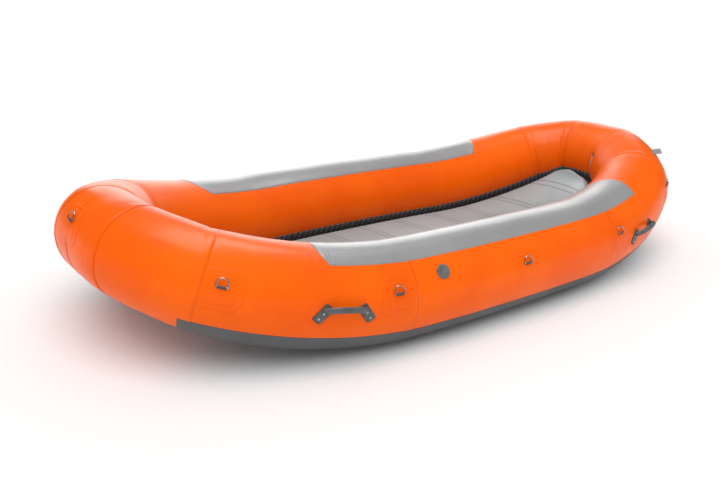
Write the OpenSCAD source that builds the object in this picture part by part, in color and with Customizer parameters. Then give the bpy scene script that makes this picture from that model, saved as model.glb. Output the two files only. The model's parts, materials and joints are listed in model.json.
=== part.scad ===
// Oval whitewater raft: a closed ring of inflated tube round an inflatable
// floor that is laced in. +X is the bow, +Y is port, +Z is up. The origin is
// on the ground, under the middle of the hull. All sizes are millimetres.

/* [Hull] */
// Length over the tubes
overall_length = 4270; // [3560:10:5120]
// Width over the tubes
overall_width = 2060; // [1720:10:2470]
// Diameter of the tube along the sides
side_tube_d = 524; // [440:2:620]
// Diameter of the tube at the middle of the bow and stern
end_tube_d = 470; // [400:2:560]
// Rise of the tube's centre from the sides to the bow and stern
end_rise = 267; // [160:1:330]
// Half length of the level stretch that rests on the ground
level_half = 636; // [530:1:760]
// Distance from the middle at which the tube starts to taper
taper_start = 755; // [630:1:900]
// Squareness of the oval, where 2 is an ellipse
plan_power = 2.69; // [2.4:0.01:3]
// Thickness of the coated tube fabric
fabric_t = 1.5; // [1:0.1:2.5]

/* [Panels] */
// From the bow's middle to the first seam, along the tube
seam_1 = 180; // [150:1:215]
// From the bow's middle to the second seam
seam_2 = 550; // [460:1:660]
// From the bow's middle to the third seam
seam_3 = 1530; // [1280:1:1700]
// Width of the tape inside each seam
tape_w = 40; // [30:1:50]
// Thickness of the wear layers glued on the tube
wear_t = 2; // [1.5:0.1:3]
// From the bow's middle to where the top wear layer starts
top_wear_start = 1130; // [950:1:1350]

/* [Fittings] */
// Wire diameter of the D-rings
ring_wire_d = 6; // [5:0.5:8]
// Distance between the middles of a D-ring's two legs
ring_leg_span = 56; // [48:1:66]
// Length of a D-ring's straight legs
ring_leg = 12; // [8:1:16]
// Width of the patch under a D-ring, along the tube
ring_patch_w = 160; // [130:1:190]
// Distance between the middles of a handle's two plates
handle_span = 222; // [186:1:266]
// Length of a handle plate
plate_l = 108; // [92:1:120]
// Width of a handle plate
plate_w = 48; // [40:1:56]
// Thickness of a handle plate
plate_t = 5; // [4:0.5:7]
// Diameter of the grip
grip_d = 26; // [20:1:30]
// Clear height under the grip
grip_clear = 32; // [26:1:40]
// Diameter of a rivet's shank
rivet_d = 4; // [3:0.5:5]
// Diameter of a valve's cap
cap_d = 76; // [66:1:88]
// Diameter of a valve's bore, where the pump's nozzle goes
valve_bore_d = 40; // [34:1:46]
// How far a valve's poppet is pushed in
poppet_travel = 5; // [4:0.5:6]

/* [Floor] */
// Thickness of the inflated floor at its edge
floor_t = 110; // [90:1:130]
// Height of the floor's crown along its middle
floor_crown = 24; // [10:1:40]
// Drain gap between the floor and the tube
floor_gap = 28; // [20:1:36]
// Distance between the ribs inside the floor
rib_pitch = 300; // [250:1:360]
// Diameter of the lacing cord
lace_d = 6; // [4:0.5:8]

/* [Hidden] */
SIDES = 24;
FACET = 360 / SIDES;
LAYER_GAP = 0.3;
PIECE_GAP = 0.6;
RUNNING_FIT = 0.05;
RISE_POWER = 2.27;
TAPER_POWER = 2.64;
STEPS = [2, 3, 7, 5];
ARC_STEPS = 180;
TANGENT_STEP = 20;
FINE = 48;

ORANGE = "orangered";
LIGHT_GREY = "darkgray";
DARK_GREY = "dimgray";
STEEL = "silver";

side_r = side_tube_d / 2;
end_r = end_tube_d / 2;
half_l = overall_length / 2 - end_r;
half_w = overall_width / 2 - side_r;
ground_gap = LAYER_GAP + wear_t;

// ---- The tube's centreline, one quarter and then the whole loop ----

function quarter_x(u) = half_l * pow(cos(u), 2 / plan_power);
function quarter_y(u) = half_w * pow(sin(u), 2 / plan_power);
function rise(x) = end_rise * pow(max(0, (x - level_half) / (half_l - level_half)), RISE_POWER);
function centre_z(x) = side_r + ground_gap + rise(x);
function radius_at(x) =
    side_r - (side_r - end_r) * pow(max(0, (x - taper_start) / (half_l - taper_start)), TAPER_POWER);
function quarter_point(u) = [quarter_x(u), quarter_y(u), centre_z(quarter_x(u))];

// Arc length against the superellipse's parameter, over one quarter
arc_table = [
    for (i = 0, a = 0; i <= ARC_STEPS;
         a = a + (i < ARC_STEPS ? norm(quarter_point(90 * (i + 1) / ARC_STEPS)
                                       - quarter_point(90 * i / ARC_STEPS)) : 0), i = i + 1)
        [a, 90 * i / ARC_STEPS]
];
quarter_arc = arc_table[ARC_STEPS][0];
loop_arc = 4 * quarter_arc;

function wrapped(s) = s - loop_arc * floor(s / loop_arc);
function quadrant(s) = min(3, floor(wrapped(s) / quarter_arc));
function folded(s) =
    let (q = quadrant(s), m = wrapped(s))
    q % 2 == 0 ? m - q * quarter_arc : (q + 1) * quarter_arc - m;
function centre_point(s) =
    let (p = quarter_point(lookup(folded(s), arc_table)), q = quadrant(s))
    [(q == 0 || q == 3) ? p.x : -p.x, q < 2 ? p.y : -p.y, p.z];

function unit(v) = v / norm(v);
// One ring of the tube: its centre, outward and upward directions and radius
function ring_frame(s) =
    let (p = centre_point(s),
         t = unit(centre_point(s + TANGENT_STEP) - centre_point(s - TANGENT_STEP)),
         o = unit(cross(t, [0, 0, 1])))
    [p, o, cross(o, t), radius_at(abs(p.x))];

// Ring stations: each panel between seams is cut into equal steps
seams = [0, seam_1, seam_2, seam_3, quarter_arc];
quarter_stations = [
    for (k = [0:3]) for (i = [0:STEPS[k] - 1])
        seams[k] + (seams[k + 1] - seams[k]) * i / STEPS[k]
];
stations = concat(
    quarter_stations,
    [quarter_arc],
    [for (i = [len(quarter_stations) - 1:-1:1]) 2 * quarter_arc - quarter_stations[i]],
    [for (s = quarter_stations) 2 * quarter_arc + s],
    [3 * quarter_arc],
    [for (i = [len(quarter_stations) - 1:-1:1]) loop_arc - quarter_stations[i]],
    [loop_arc]
);
frames = [for (s = stations) ring_frame(s)];

function station_below(s, lo = 0, hi = len(stations) - 1) =
    hi - lo <= 1 ? lo
    : let (mid = floor((lo + hi) / 2)) s < stations[mid] ? station_below(s, lo, mid)
    : station_below(s, mid, hi);

// ---- Points on the tube: arc, angle up from outboard, height above the skin ----

function from_facet(angle) = angle - FACET * round(angle / FACET);
function ring_point(f, angle, h) =
    f[0] + (f[3] + h) / cos(from_facet(angle)) * (cos(angle) * f[1] + sin(angle) * f[2]);
function tube_point(s, angle, h) =
    let (w = wrapped(s), i = station_below(w),
         k = (w - stations[i]) / (stations[i + 1] - stations[i]))
    ring_point(frames[i], angle, h) * (1 - k) + ring_point(frames[i + 1], angle, h) * k;

// Axes of the flat facet under a point: along the tube, up round it, and out
function facet_axes(s, angle) =
    let (i = station_below(wrapped(s)), low = FACET * (round(angle / FACET) - 0.5),
         a = ring_point(frames[i], low, 0), b = ring_point(frames[i + 1], low, 0),
         c = ring_point(frames[i + 1], low + FACET, 0), d = ring_point(frames[i], low + FACET, 0),
         t = unit(b - a + c - d), n = unit(cross(t, d - a + c - b)))
    [t, cross(n, t), n];
function placing(p, axes) = [
    [axes[0].x, axes[1].x, axes[2].x, p.x],
    [axes[0].y, axes[1].y, axes[2].y, p.y],
    [axes[0].z, axes[1].z, axes[2].z, p.z],
    [0, 0, 0, 1]
];
// Puts a fitting on the tube: x along the tube, y up round it, z out from it
module on_tube(s, angle, h = 0) {
    axes = facet_axes(s, angle);
    multmatrix(placing(tube_point(s, angle, 0) + h * axes[2], axes)) children();
}

function arcs_between(a, b) = concat([a], [for (s = stations) if (s > a + 1 && s < b - 1) s], [b]);
function angles_between(a, b) =
    let (first = FACET * (ceil((a + 0.1) / FACET - 0.5) + 0.5))
    concat([a], [for (v = [first:FACET:b - 0.1]) v], [b]);
function all_angles() = [for (j = [0:SIDES - 1]) FACET * (j + 0.5)];

function quad(a, b, c, d) = [[a, b, c], [a, c, d]];
// Two triangles whose shared edge runs the other way in every second quadrant,
// so that the four quarters of the hull mirror each other
function cut_quad(split, a, b, c, d, turned = 0) =
    (split + turned) % 2 == 0 ? quad(a, b, c, d) : quad(b, c, d, a);

// A skin between two heights above the tube. Its low and high sides are grids of
// points, closed round the tube (ring), or along the whole loop (loop), or
// neither.
module skin(arcs, angles, low, high, ring = false, loop = false) {
    m = len(arcs);
    n = len(angles);
    lows = is_list(low) ? low : [for (a = angles) low];
    highs = is_list(high) ? high : [for (a = angles) high];
    points = [
        for (heights = [lows, highs]) for (s = arcs) for (j = [0:n - 1])
            tube_point(s, angles[j], heights[j])
    ];
    function at(k, i, j) = (k * m + i % m) * n + j % n;
    last_i = loop ? m - 1 : m - 2;
    last_j = ring ? n - 1 : n - 2;
    sides = [
        for (i = [0:last_i]) let (split = quadrant(arcs[i] + 1) % 2) for (j = [0:last_j])
            each concat(
                cut_quad(split, at(1, i, j), at(1, i, j + 1), at(1, i + 1, j + 1), at(1, i + 1, j)),
                cut_quad(split, at(0, i + 1, j), at(0, i + 1, j + 1), at(0, i, j + 1), at(0, i, j), 1))
    ];
    ends = loop ? [] : [
        for (j = [0:last_j]) each concat(
            quad(at(0, 0, j), at(0, 0, j + 1), at(1, 0, j + 1), at(1, 0, j)),
            quad(at(0, m - 1, j), at(1, m - 1, j), at(1, m - 1, j + 1), at(0, m - 1, j + 1)))
    ];
    edges = ring ? [] : [
        for (i = [0:last_i]) each concat(
            quad(at(0, i, 0), at(1, i, 0), at(1, i + 1, 0), at(0, i + 1, 0)),
            quad(at(0, i, n - 1), at(0, i + 1, n - 1), at(1, i + 1, n - 1), at(1, i, n - 1)))
    ];
    polyhedron(points = points, faces = concat(sides, ends, edges), convexity = 8);
}

// A round bar of a few flat sides along a list of points
module swept_bar(points, radius, sides, closed = false) {
    m = len(points);
    function dir(i) = closed
        ? unit(points[(i + 1) % m] - points[(i + m - 1) % m])
        : unit(points[min(i + 1, m - 1)] - points[max(i - 1, 0)]);
    rings = [
        for (i = [0:m - 1]) let (t = dir(i), o = unit(cross(t, [0.1, 0.2, 1])), v = cross(o, t))
            for (j = [0:sides - 1]) let (a = 360 * j / sides)
                points[i] + radius * (cos(a) * o + sin(a) * v)
    ];
    function at(i, j) = (i % m) * sides + j % sides;
    walls = [
        for (i = [0:closed ? m - 1 : m - 2]) for (j = [0:sides - 1]) each
            [[at(i, j), at(i, j + 1), at(i + 1, j + 1)], [at(i, j), at(i + 1, j + 1), at(i + 1, j)]]
    ];
    ends = closed ? [] : [
        [for (j = [sides - 1:-1:0]) at(0, j)],
        [for (j = [0:sides - 1]) at(m - 1, j)]
    ];
    polyhedron(points = rings, faces = concat(walls, ends), convexity = 8);
}

// ---- Tube panels, seam tapes and baffles ----

// Valves on the tube: arc from the bow's middle and angle above outboard
valve_angle = 34;
valve_arc = 1731;
starboard_valve_arc = valve_arc + 2 * quarter_arc;
valve_hole_r = valve_bore_d / 2 + 6;

module tube_panel(from, to) {
    color(ORANGE) skin(arcs_between(from, to), all_angles(), -fabric_t, 0, ring = true);
}
// A panel that has a valve's hole cut through its wall
module valved_panel(from, to, arc) {
    color(ORANGE) difference() {
        skin(arcs_between(from, to), all_angles(), -fabric_t, 0, ring = true);
        on_tube(arc, valve_angle) cylinder(r = valve_hole_r, h = 60, center = true, $fn = FINE);
    }
}
stern_arc = 2 * quarter_arc;
module panel_bow() {
    color(ORANGE) skin(
        concat([for (i = [STEPS[0]:-1:1]) loop_arc - seam_1 * i / STEPS[0]],
               [for (i = [0:STEPS[0]]) seam_1 * i / STEPS[0]]),
        all_angles(), -fabric_t, 0, ring = true);
}
module panel_stern() { tube_panel(stern_arc - seam_1, stern_arc + seam_1); }
module panel_bow_port() { tube_panel(seam_1, seam_2); }
module panel_bow_starboard() { tube_panel(loop_arc - seam_2, loop_arc - seam_1); }
module panel_stern_port() { tube_panel(stern_arc - seam_2, stern_arc - seam_1); }
module panel_stern_starboard() { tube_panel(stern_arc + seam_1, stern_arc + seam_2); }
module panel_fore_port() { tube_panel(seam_2, seam_3); }
module panel_fore_starboard() { tube_panel(loop_arc - seam_3, loop_arc - seam_2); }
module panel_aft_port() { tube_panel(stern_arc - seam_3, stern_arc - seam_2); }
module panel_aft_starboard() { tube_panel(stern_arc + seam_2, stern_arc + seam_3); }
module panel_mid_port() { valved_panel(seam_3, stern_arc - seam_3, valve_arc); }
module panel_mid_starboard() {
    valved_panel(stern_arc + seam_3, loop_arc - seam_3, starboard_valve_arc);
}

// How far a facet's two diagonals miss each other where the ring bends most
function facet_twist(i, angle) =
    norm(ring_point(frames[i], angle, 0) + ring_point(frames[i + 1], angle + FACET, 0)
         - ring_point(frames[i], angle + FACET, 0) - ring_point(frames[i + 1], angle, 0)) / 2;
worst_twist = max([for (i = [0:STEPS[0] + STEPS[1]]) for (a = all_angles()) facet_twist(i, a)]);
// A tape laid under the twisted facets clears them by this share of their twist
tape_gap = 0.08 * worst_twist;
// A flat band inside the tube over each seam
module seam_tapes() {
    for (side = [0, 2]) for (end = [0, 1]) for (seam = [seam_1, seam_2, seam_3]) {
        middle = (side + 2 * end) * quarter_arc + (end == 1 ? -seam : seam);
        color(ORANGE) skin([middle - tape_w / 2, middle, middle + tape_w / 2],
                           all_angles(), -2 * fabric_t - tape_gap, -fabric_t - tape_gap,
                           ring = true);
    }
}
// A fabric wall across the tube at the bow and the stern splits it into two chambers
module tube_baffles() {
    for (end = [1, -1]) color(ORANGE)
        translate([end * half_l, 0, centre_z(half_l)]) rotate([90, 0, 0])
            cylinder(r = end_r - fabric_t - PIECE_GAP, h = fabric_t, center = true, $fn = FINE);
}

// ---- Wear layers ----

bottom_wear_in = 230;
bottom_wear_out = 330;
top_wear_low = 54;
top_wear_high = 127;
module bottom_wear(from, to) {
    color(DARK_GREY) skin(arcs_between(from, to),
                          angles_between(bottom_wear_in, bottom_wear_out),
                          LAYER_GAP, LAYER_GAP + wear_t);
}
module bottom_wear_port() { bottom_wear(seam_2, stern_arc - seam_2); }
module bottom_wear_starboard() {
    bottom_wear(stern_arc + seam_2, loop_arc - seam_2);
}
module top_wear(from, to) {
    color(LIGHT_GREY) skin(arcs_between(from, to), angles_between(top_wear_low, top_wear_high),
                           LAYER_GAP, LAYER_GAP + wear_t);
}
module top_wear_port() { top_wear(top_wear_start, stern_arc - top_wear_start); }
module top_wear_starboard() { top_wear(stern_arc + top_wear_start, loop_arc - top_wear_start); }

// ---- D-rings ----

ring_angle = 20;
end_ring_angle = 34;
ring_arcs = [654, 1455, quarter_arc, stern_arc - 1455, stern_arc - 654];
keeper_wall = 2;
keeper_w = 44;
keeper_tail = 24;
ring_r = ring_wire_d / 2;
keeper_r = ring_r + RUNNING_FIT + keeper_wall;
ring_patch_h = 200;
ring_cover_up = 8;
ring_cover_w = ring_patch_w / 2;
bar_height = LAYER_GAP + 2 * (fabric_t + PIECE_GAP) + keeper_r;

// The ring's bar lies on x and its bow stands up along y
module d_ring() {
    half = ring_leg_span / 2;
    rotate([0, 90, 0]) cylinder(r = ring_r, h = ring_leg_span, center = true, $fn = FINE);
    for (side = [-1, 1]) translate([side * half, 0, 0]) {
        sphere(r = ring_r, $fn = FINE);
        rotate([-90, 0, 0]) cylinder(r = ring_r, h = ring_leg, $fn = FINE);
    }
    translate([0, ring_leg, 0]) rotate_extrude(angle = 180, $fn = 2 * FINE)
        translate([half, 0]) circle(r = ring_r, $fn = FINE);
}
module placed_ring(arc, angle) {
    color(STEEL) on_tube(arc, angle, bar_height) d_ring();
}
module ring_bow() { placed_ring(1, end_ring_angle); }
module ring_stern() { placed_ring(stern_arc + 1, end_ring_angle); }
module ring_port_1() { placed_ring(ring_arcs[0], ring_angle); }
module ring_port_2() { placed_ring(ring_arcs[1], ring_angle); }
module ring_port_3() { placed_ring(ring_arcs[2], ring_angle); }
module ring_port_4() { placed_ring(ring_arcs[3], ring_angle); }
module ring_port_5() { placed_ring(ring_arcs[4], ring_angle); }
module ring_starboard_1() { placed_ring(loop_arc - ring_arcs[0], ring_angle); }
module ring_starboard_2() { placed_ring(loop_arc - ring_arcs[1], ring_angle); }
module ring_starboard_3() { placed_ring(loop_arc - ring_arcs[2], ring_angle); }
module ring_starboard_4() { placed_ring(loop_arc - ring_arcs[3], ring_angle); }
module ring_starboard_5() { placed_ring(loop_arc - ring_arcs[4], ring_angle); }

// All the places that hold a ring: arc and angle
ring_places = concat(
    [[1, end_ring_angle], [stern_arc + 1, end_ring_angle]],
    [for (a = ring_arcs) [a, ring_angle]],
    [for (a = ring_arcs) [loop_arc - a, ring_angle]]
);
function degrees_round(arc, length) = length / radius_at(abs(centre_point(arc).x)) * 180 / PI;
// A base patch and a smaller cover patch over it, under each ring
module patch_at(arc, angle, w, up, down, low) {
    first = arc - w / 2;
    last = arc + w / 2;
    arcs = first < 0
        ? concat([loop_arc + first], [for (s = stations) if (s > loop_arc + first + 1) s],
                 [for (s = stations) if (s > 1 && s < last - 1) s], [last])
        : arcs_between(first, last);
    skin(arcs, angles_between(angle - degrees_round(arc, down), angle + degrees_round(arc, up)),
         low, low + fabric_t);
}
module ring_patches() {
    cover_low = LAYER_GAP + fabric_t + PIECE_GAP;
    for (place = ring_places) color(ORANGE) {
        patch_at(place[0], place[1], ring_patch_w, ring_patch_h * 0.4, ring_patch_h * 0.6, LAYER_GAP);
        patch_at(place[0], place[1], ring_cover_w, ring_cover_up, ring_patch_h * 0.4, cover_low);
    }
}
// A webbing keeper folded round each ring's bar, with its tail down on the patch
module keeper() {
    difference() {
        union() {
            rotate([0, 90, 0]) cylinder(r = keeper_r, h = keeper_w, center = true, $fn = FINE);
            translate([-keeper_w / 2, -keeper_tail, -keeper_r])
                cube([keeper_w, keeper_tail, keeper_wall]);
        }
        rotate([0, 90, 0])
            cylinder(r = ring_r + RUNNING_FIT, h = keeper_w + 2, center = true, $fn = FINE);
    }
}
module ring_keepers() {
    for (place = ring_places) color(DARK_GREY) on_tube(place[0], place[1], bar_height) keeper();
}

// ---- Handles ----

handle_arcs = [1180, stern_arc - 1180];
handle_angle = 2;
plate_corner_r = 12;
rivet_pitch = 38;
rivet_head_r = 5.5;
handle_base = LAYER_GAP + fabric_t + 2.5 * PIECE_GAP;
grip_sides = 12;

// One plate in its own axes: the long way is y, and the grip springs from its upper end
module plate() {
    difference() {
        linear_extrude(plate_t) hull() for (x = [-1, 1]) for (y = [-1, 1])
            translate([x * (plate_w / 2 - plate_corner_r), y * (plate_l / 2 - plate_corner_r)])
                circle(r = plate_corner_r, $fn = FINE);
        for (y = [-0.5, 0.5]) translate([0, y * rivet_pitch - plate_l * 0.16, -1])
            cylinder(d = rivet_d + 2 * RUNNING_FIT, h = plate_t + 2, $fn = FINE);
    }
}
// The way a plate leans: its top goes towards the middle of the handle
module on_plate(arc, side) {
    on_tube(arc + side * handle_span / 2, handle_angle, handle_base) rotate([0, 0, side * 45])
        children();
}
function grip_point(arc, k, out, up) =
    tube_point(arc + k * handle_span / 2, handle_angle, handle_base + out) + [0, 0, up];
// The grip leaves one plate's upper half, stands off the tube and enters the other
module grip(arc) {
    stand = grip_clear + grip_d / 2;
    foot = plate_t;
    swept_bar([
        grip_point(arc, -0.86, foot, 8), grip_point(arc, -0.78, stand * 0.55, 12),
        grip_point(arc, -0.64, stand * 0.92, 16), grip_point(arc, -0.4, stand * 1.04, 18),
        grip_point(arc, 0, stand * 1.1, 19), grip_point(arc, 0.4, stand * 1.04, 18),
        grip_point(arc, 0.64, stand * 0.92, 16), grip_point(arc, 0.78, stand * 0.55, 12),
        grip_point(arc, 0.86, foot, 8)
    ], grip_d / 2, grip_sides);
}
module handle(arc) {
    color(DARK_GREY) {
        for (side = [-1, 1]) on_plate(arc, side) plate();
        grip(arc);
    }
}
module handle_fore_port() { handle(handle_arcs[0]); }
module handle_aft_port() { handle(handle_arcs[1]); }
module handle_fore_starboard() { handle(loop_arc - handle_arcs[0]); }
module handle_aft_starboard() { handle(loop_arc - handle_arcs[1]); }

handle_places = concat(handle_arcs, [for (a = handle_arcs) loop_arc - a]);
handle_patch_w = handle_span + plate_l + 30;
handle_patch_half = 75;
module handle_patches() {
    for (arc = handle_places) color(ORANGE)
        patch_at(arc, handle_angle, handle_patch_w, handle_patch_half, handle_patch_half, LAYER_GAP);
}
// A domed head on the plate and a shank down through it
module handle_rivets() {
    head_h = 2.5;
    for (arc = handle_places) for (side = [-1, 1]) for (y = [-0.5, 0.5]) color(STEEL)
        on_plate(arc, side) translate([0, y * rivet_pitch - plate_l * 0.16, 0]) {
            translate([0, 0, -PIECE_GAP / 2]) cylinder(d = rivet_d, h = plate_t + 1, $fn = FINE);
            translate([0, 0, plate_t + RUNNING_FIT]) rotate_extrude($fn = FINE)
                intersection() {
                    translate([0, head_h - 8]) circle(r = 8, $fn = 2 * FINE);
                    square([rivet_head_r, head_h]);
                }
        }
}

// ---- Valves: housing, cap, poppet and spring about the z axis, z = 0 on the skin ----

bore_r = valve_bore_d / 2;
housing_r = valve_hole_r - 0.5;
housing_depth = 40;
flange_t = 4;
seat_z = -22;
seat_t = 3;
seat_r = bore_r - 6;
hub_r = 5;
stem_r = 2.5;
hub_z = seat_z + 2;
hub_h = 5;
arm_w = 3;
cap_base = PIECE_GAP + flange_t + LAYER_GAP;
cap_t = 6;
plug_depth = 5;
button_r = 8;
button_t = 3;
disc_t = 3;
spring_wire_r = 0.6;
spring_r = 4.2;
spring_turns = 3;
spring_pitch = 2 * spring_wire_r + 0.4;
spring_room = spring_turns * spring_pitch + 2 * (spring_wire_r + LAYER_GAP);
button_z = hub_z + hub_h + spring_room + poppet_travel;

module valve_body() {
    color(DARK_GREY) {
        rotate_extrude($fn = 2 * FINE) polygon([
            [bore_r, PIECE_GAP + flange_t], [cap_d / 2 - 2, PIECE_GAP + flange_t],
            [cap_d / 2, PIECE_GAP + flange_t - 2], [cap_d / 2, PIECE_GAP],
            [housing_r, PIECE_GAP], [housing_r, -housing_depth],
            [bore_r, -housing_depth], [bore_r, seat_z - seat_t],
            [seat_r, seat_z - seat_t], [seat_r, seat_z], [bore_r, seat_z + 4]
        ]);
        translate([0, 0, hub_z]) difference() {
            union() {
                cylinder(r = hub_r, h = hub_h, $fn = FINE);
                for (k = [0:2]) rotate([0, 0, 120 * k]) translate([0, -arm_w / 2, 0])
                    cube([bore_r + 2, arm_w, hub_h]);
            }
            translate([0, 0, -1]) cylinder(r = stem_r + RUNNING_FIT, h = hub_h + 2, $fn = FINE);
        }
    }
}
// A disc with a plug below it and two finger recesses in its face
module valve_cap() {
    recess_r = 13;
    recess_depth = 3;
    color(DARK_GREY) difference() {
        translate([0, 0, cap_base]) rotate_extrude($fn = 2 * FINE) polygon([
            [0, cap_t], [cap_d / 2 - 4, cap_t], [cap_d / 2 - 1.5, cap_t - 1.5],
            [cap_d / 2 - 1, cap_t - 4], [cap_d / 2 - 1, 0], [bore_r - 0.5, 0],
            [bore_r - 0.5, -plug_depth], [bore_r - 4, -plug_depth], [bore_r - 4, 1], [0, 1]
        ]);
        for (side = [-1, 1]) translate([side * (cap_d / 2 - 6), 0, cap_base + cap_t - recess_depth])
            cylinder(r = recess_r, h = recess_depth + 1, $fn = FINE);
    }
}
module valve_poppet() {
    color(DARK_GREY) {
        stem_low = seat_z - seat_t - LAYER_GAP - disc_t;
        translate([0, 0, stem_low]) cylinder(r = stem_r, h = button_z - stem_low + 1, $fn = FINE);
        translate([0, 0, button_z]) cylinder(r = button_r, h = button_t, $fn = FINE);
        translate([0, 0, stem_low]) cylinder(r = seat_r + 3, h = disc_t, $fn = FINE);
    }
}
// Drawn at the length it has with the poppet pushed in
module valve_spring() {
    per_turn = 10;
    low = hub_z + hub_h + spring_wire_r + LAYER_GAP;
    color(STEEL) swept_bar([
        for (i = [0:spring_turns * per_turn]) let (a = 360 * i / per_turn)
            [spring_r * cos(a), spring_r * sin(a), low + spring_pitch * i / per_turn]
    ], spring_wire_r, 6);
}

floor_valve_x = 600;
floor_valve_y = 250;
module at_port_valve() { on_tube(valve_arc, valve_angle) children(); }
module at_starboard_valve() { on_tube(starboard_valve_arc, valve_angle) children(); }
module at_floor_valve() { translate(floor_valve_place) children(); }

module valve_port_body() { at_port_valve() valve_body(); }
module valve_port_cap() { at_port_valve() valve_cap(); }
module valve_port_poppet() { at_port_valve() valve_poppet(); }
module valve_port_spring() { at_port_valve() valve_spring(); }
module valve_starboard_body() { at_starboard_valve() valve_body(); }
module valve_starboard_cap() { at_starboard_valve() valve_cap(); }
module valve_starboard_poppet() { at_starboard_valve() valve_poppet(); }
module valve_starboard_spring() { at_starboard_valve() valve_spring(); }
module valve_floor_body() { at_floor_valve() valve_body(); }
module valve_floor_cap() { at_floor_valve() valve_cap(); }
module valve_floor_poppet() { at_floor_valve() valve_poppet(); }
module valve_floor_spring() { at_floor_valve() valve_spring(); }

// ---- Floor ----

// The floor's top edge follows the tube a little below its middle
floor_angle = 205;
function below(p, drop) = p - [0, 0, drop];
edge_inset = fabric_t + PIECE_GAP;
column_edges = [
    for (i = [STEPS[0]:len(quarter_stations)])
        ring_point(frames[i], floor_angle, floor_gap) - edge_inset * frames[i][1]
];
row_shares = [-1, -0.9, -0.68, -0.36, 0, 0.36, 0.68, 0.9, 1];

// Every column from bow to stern: its x, half width and edge height
columns = concat(
    column_edges,
    [for (i = [len(column_edges) - 2:-1:0])
        [-column_edges[i].x, column_edges[i].y, column_edges[i].z]]
);
function crown(share) = floor_crown * (1 - pow(abs(share), 2.4));
function sheet_point(c, share, drop, swell) =
    [c.x, c.y * share, c.z - drop + swell * crown(share) / floor_crown];
// A thin sheet over the floor's plan: drop is how far its top lies below the
// floor's edge, and swell is how far its middle stands up
module floor_sheet(drop, swell) {
    m = len(columns);
    n = len(row_shares);
    points = [
        for (k = [0, 1]) for (c = columns) for (share = row_shares)
            sheet_point(c, share, drop + k * fabric_t, swell)
    ];
    function at(k, i, j) = (k * m + i) * n + j;
    faces = concat(
        [for (i = [0:m - 2]) for (j = [0:n - 2]) each concat(
            quad(at(1, i, j), at(1, i, j + 1), at(1, i + 1, j + 1), at(1, i + 1, j)),
            quad(at(0, i, j), at(0, i + 1, j), at(0, i + 1, j + 1), at(0, i, j + 1)))],
        [for (j = [0:n - 2]) each concat(
            quad(at(0, 0, j), at(0, 0, j + 1), at(1, 0, j + 1), at(1, 0, j)),
            quad(at(0, m - 1, j), at(1, m - 1, j), at(1, m - 1, j + 1), at(0, m - 1, j + 1)))],
        [for (i = [0:m - 2]) each concat(
            quad(at(0, i, 0), at(1, i, 0), at(1, i + 1, 0), at(0, i + 1, 0)),
            quad(at(0, i, n - 1), at(0, i + 1, n - 1), at(1, i + 1, n - 1), at(1, i, n - 1)))]
    );
    polyhedron(points = points, faces = faces, convexity = 6);
}
// The same curves read at any x
edge_half_widths = [for (c = columns) [c.x, c.y]];
edge_heights = [for (c = columns) [c.x, c.z]];
function floor_height(x, y) =
    lookup(x, edge_heights) + crown(y / lookup(x, edge_half_widths));
// The flat flange clears the highest place on the domed floor under it
flange_seat = max([
    for (turn = [0:15:345])
        floor_height(floor_valve_x + cap_d / 2 * cos(turn), floor_valve_y + cap_d / 2 * sin(turn))
]);
floor_valve_lift = max(3, flange_seat + PIECE_GAP - floor_height(floor_valve_x, floor_valve_y));
floor_valve_place = [floor_valve_x, floor_valve_y,
                     floor_height(floor_valve_x, floor_valve_y) + floor_valve_lift];

module floor_top() {
    color(LIGHT_GREY) difference() {
        floor_sheet(0, floor_crown);
        at_floor_valve() cylinder(r = valve_hole_r, h = 60, center = true, $fn = FINE);
    }
}
module floor_bottom() { color(LIGHT_GREY) floor_sheet(floor_t - fabric_t, 0); }

// The wall round the floor's edge, and the ribs that tie its top to its bottom
module floor_wall(low, high, inner, outer) {
    m = len(stations) - 1;
    edges = [for (i = [0:m - 1]) let (f = frames[i]) [ring_point(f, floor_angle, floor_gap), f[1]]];
    points = [
        for (z = [low, high]) for (off = [inner, outer]) for (e = edges)
            below(e[0], z) + off * e[1]
    ];
    function at(k, i) = k * m + i % m;
    polyhedron(points = points, convexity = 8, faces = [
        for (i = [0:m - 1]) each concat(
            quad(at(0, i), at(0, i + 1), at(2, i + 1), at(2, i)),
            quad(at(3, i), at(3, i + 1), at(1, i + 1), at(1, i)),
            quad(at(2, i), at(2, i + 1), at(3, i + 1), at(3, i)),
            quad(at(1, i), at(1, i + 1), at(0, i + 1), at(0, i)))
    ]);
}
module floor_sidewall() { color(LIGHT_GREY) floor_wall(floor_t, 0, -fabric_t, 0); }

rib_count = floor((columns[0].x - 250) / rib_pitch);
module rib(x) {
    half = lookup(x, edge_half_widths) - 20;
    edge_z = lookup(x, edge_heights);
    shares = [for (k = [-6:6]) k / 6];
    top = [for (k = shares) [half * k, edge_z - 4 * fabric_t + 0.92 * crown(k)]];
    translate([x, 0, 0]) rotate([90, 0, 90]) linear_extrude(fabric_t, center = true)
        polygon(concat(top, [[half, edge_z - floor_t + 5 * fabric_t],
                             [-half, edge_z - floor_t + 5 * fabric_t]]));
}
module floor_ribs() {
    for (k = [-rib_count:rib_count]) color(LIGHT_GREY) difference() {
        rib(k * rib_pitch);
        at_floor_valve() cylinder(r = valve_hole_r + 4, h = 3 * housing_depth, center = true);
    }
}

// ---- What holds the floor: a band on the tube, a hem, eyelets and a lace ----

flange_low = 202;
flange_high = 226;
hem_drop = 62;
hem_w = 58;
hem_t = 3;
eyelet_r = 11;
eyelet_hole_r = 5;
eyelet_t = 1.5;
lace_r = lace_d / 2;

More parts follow.
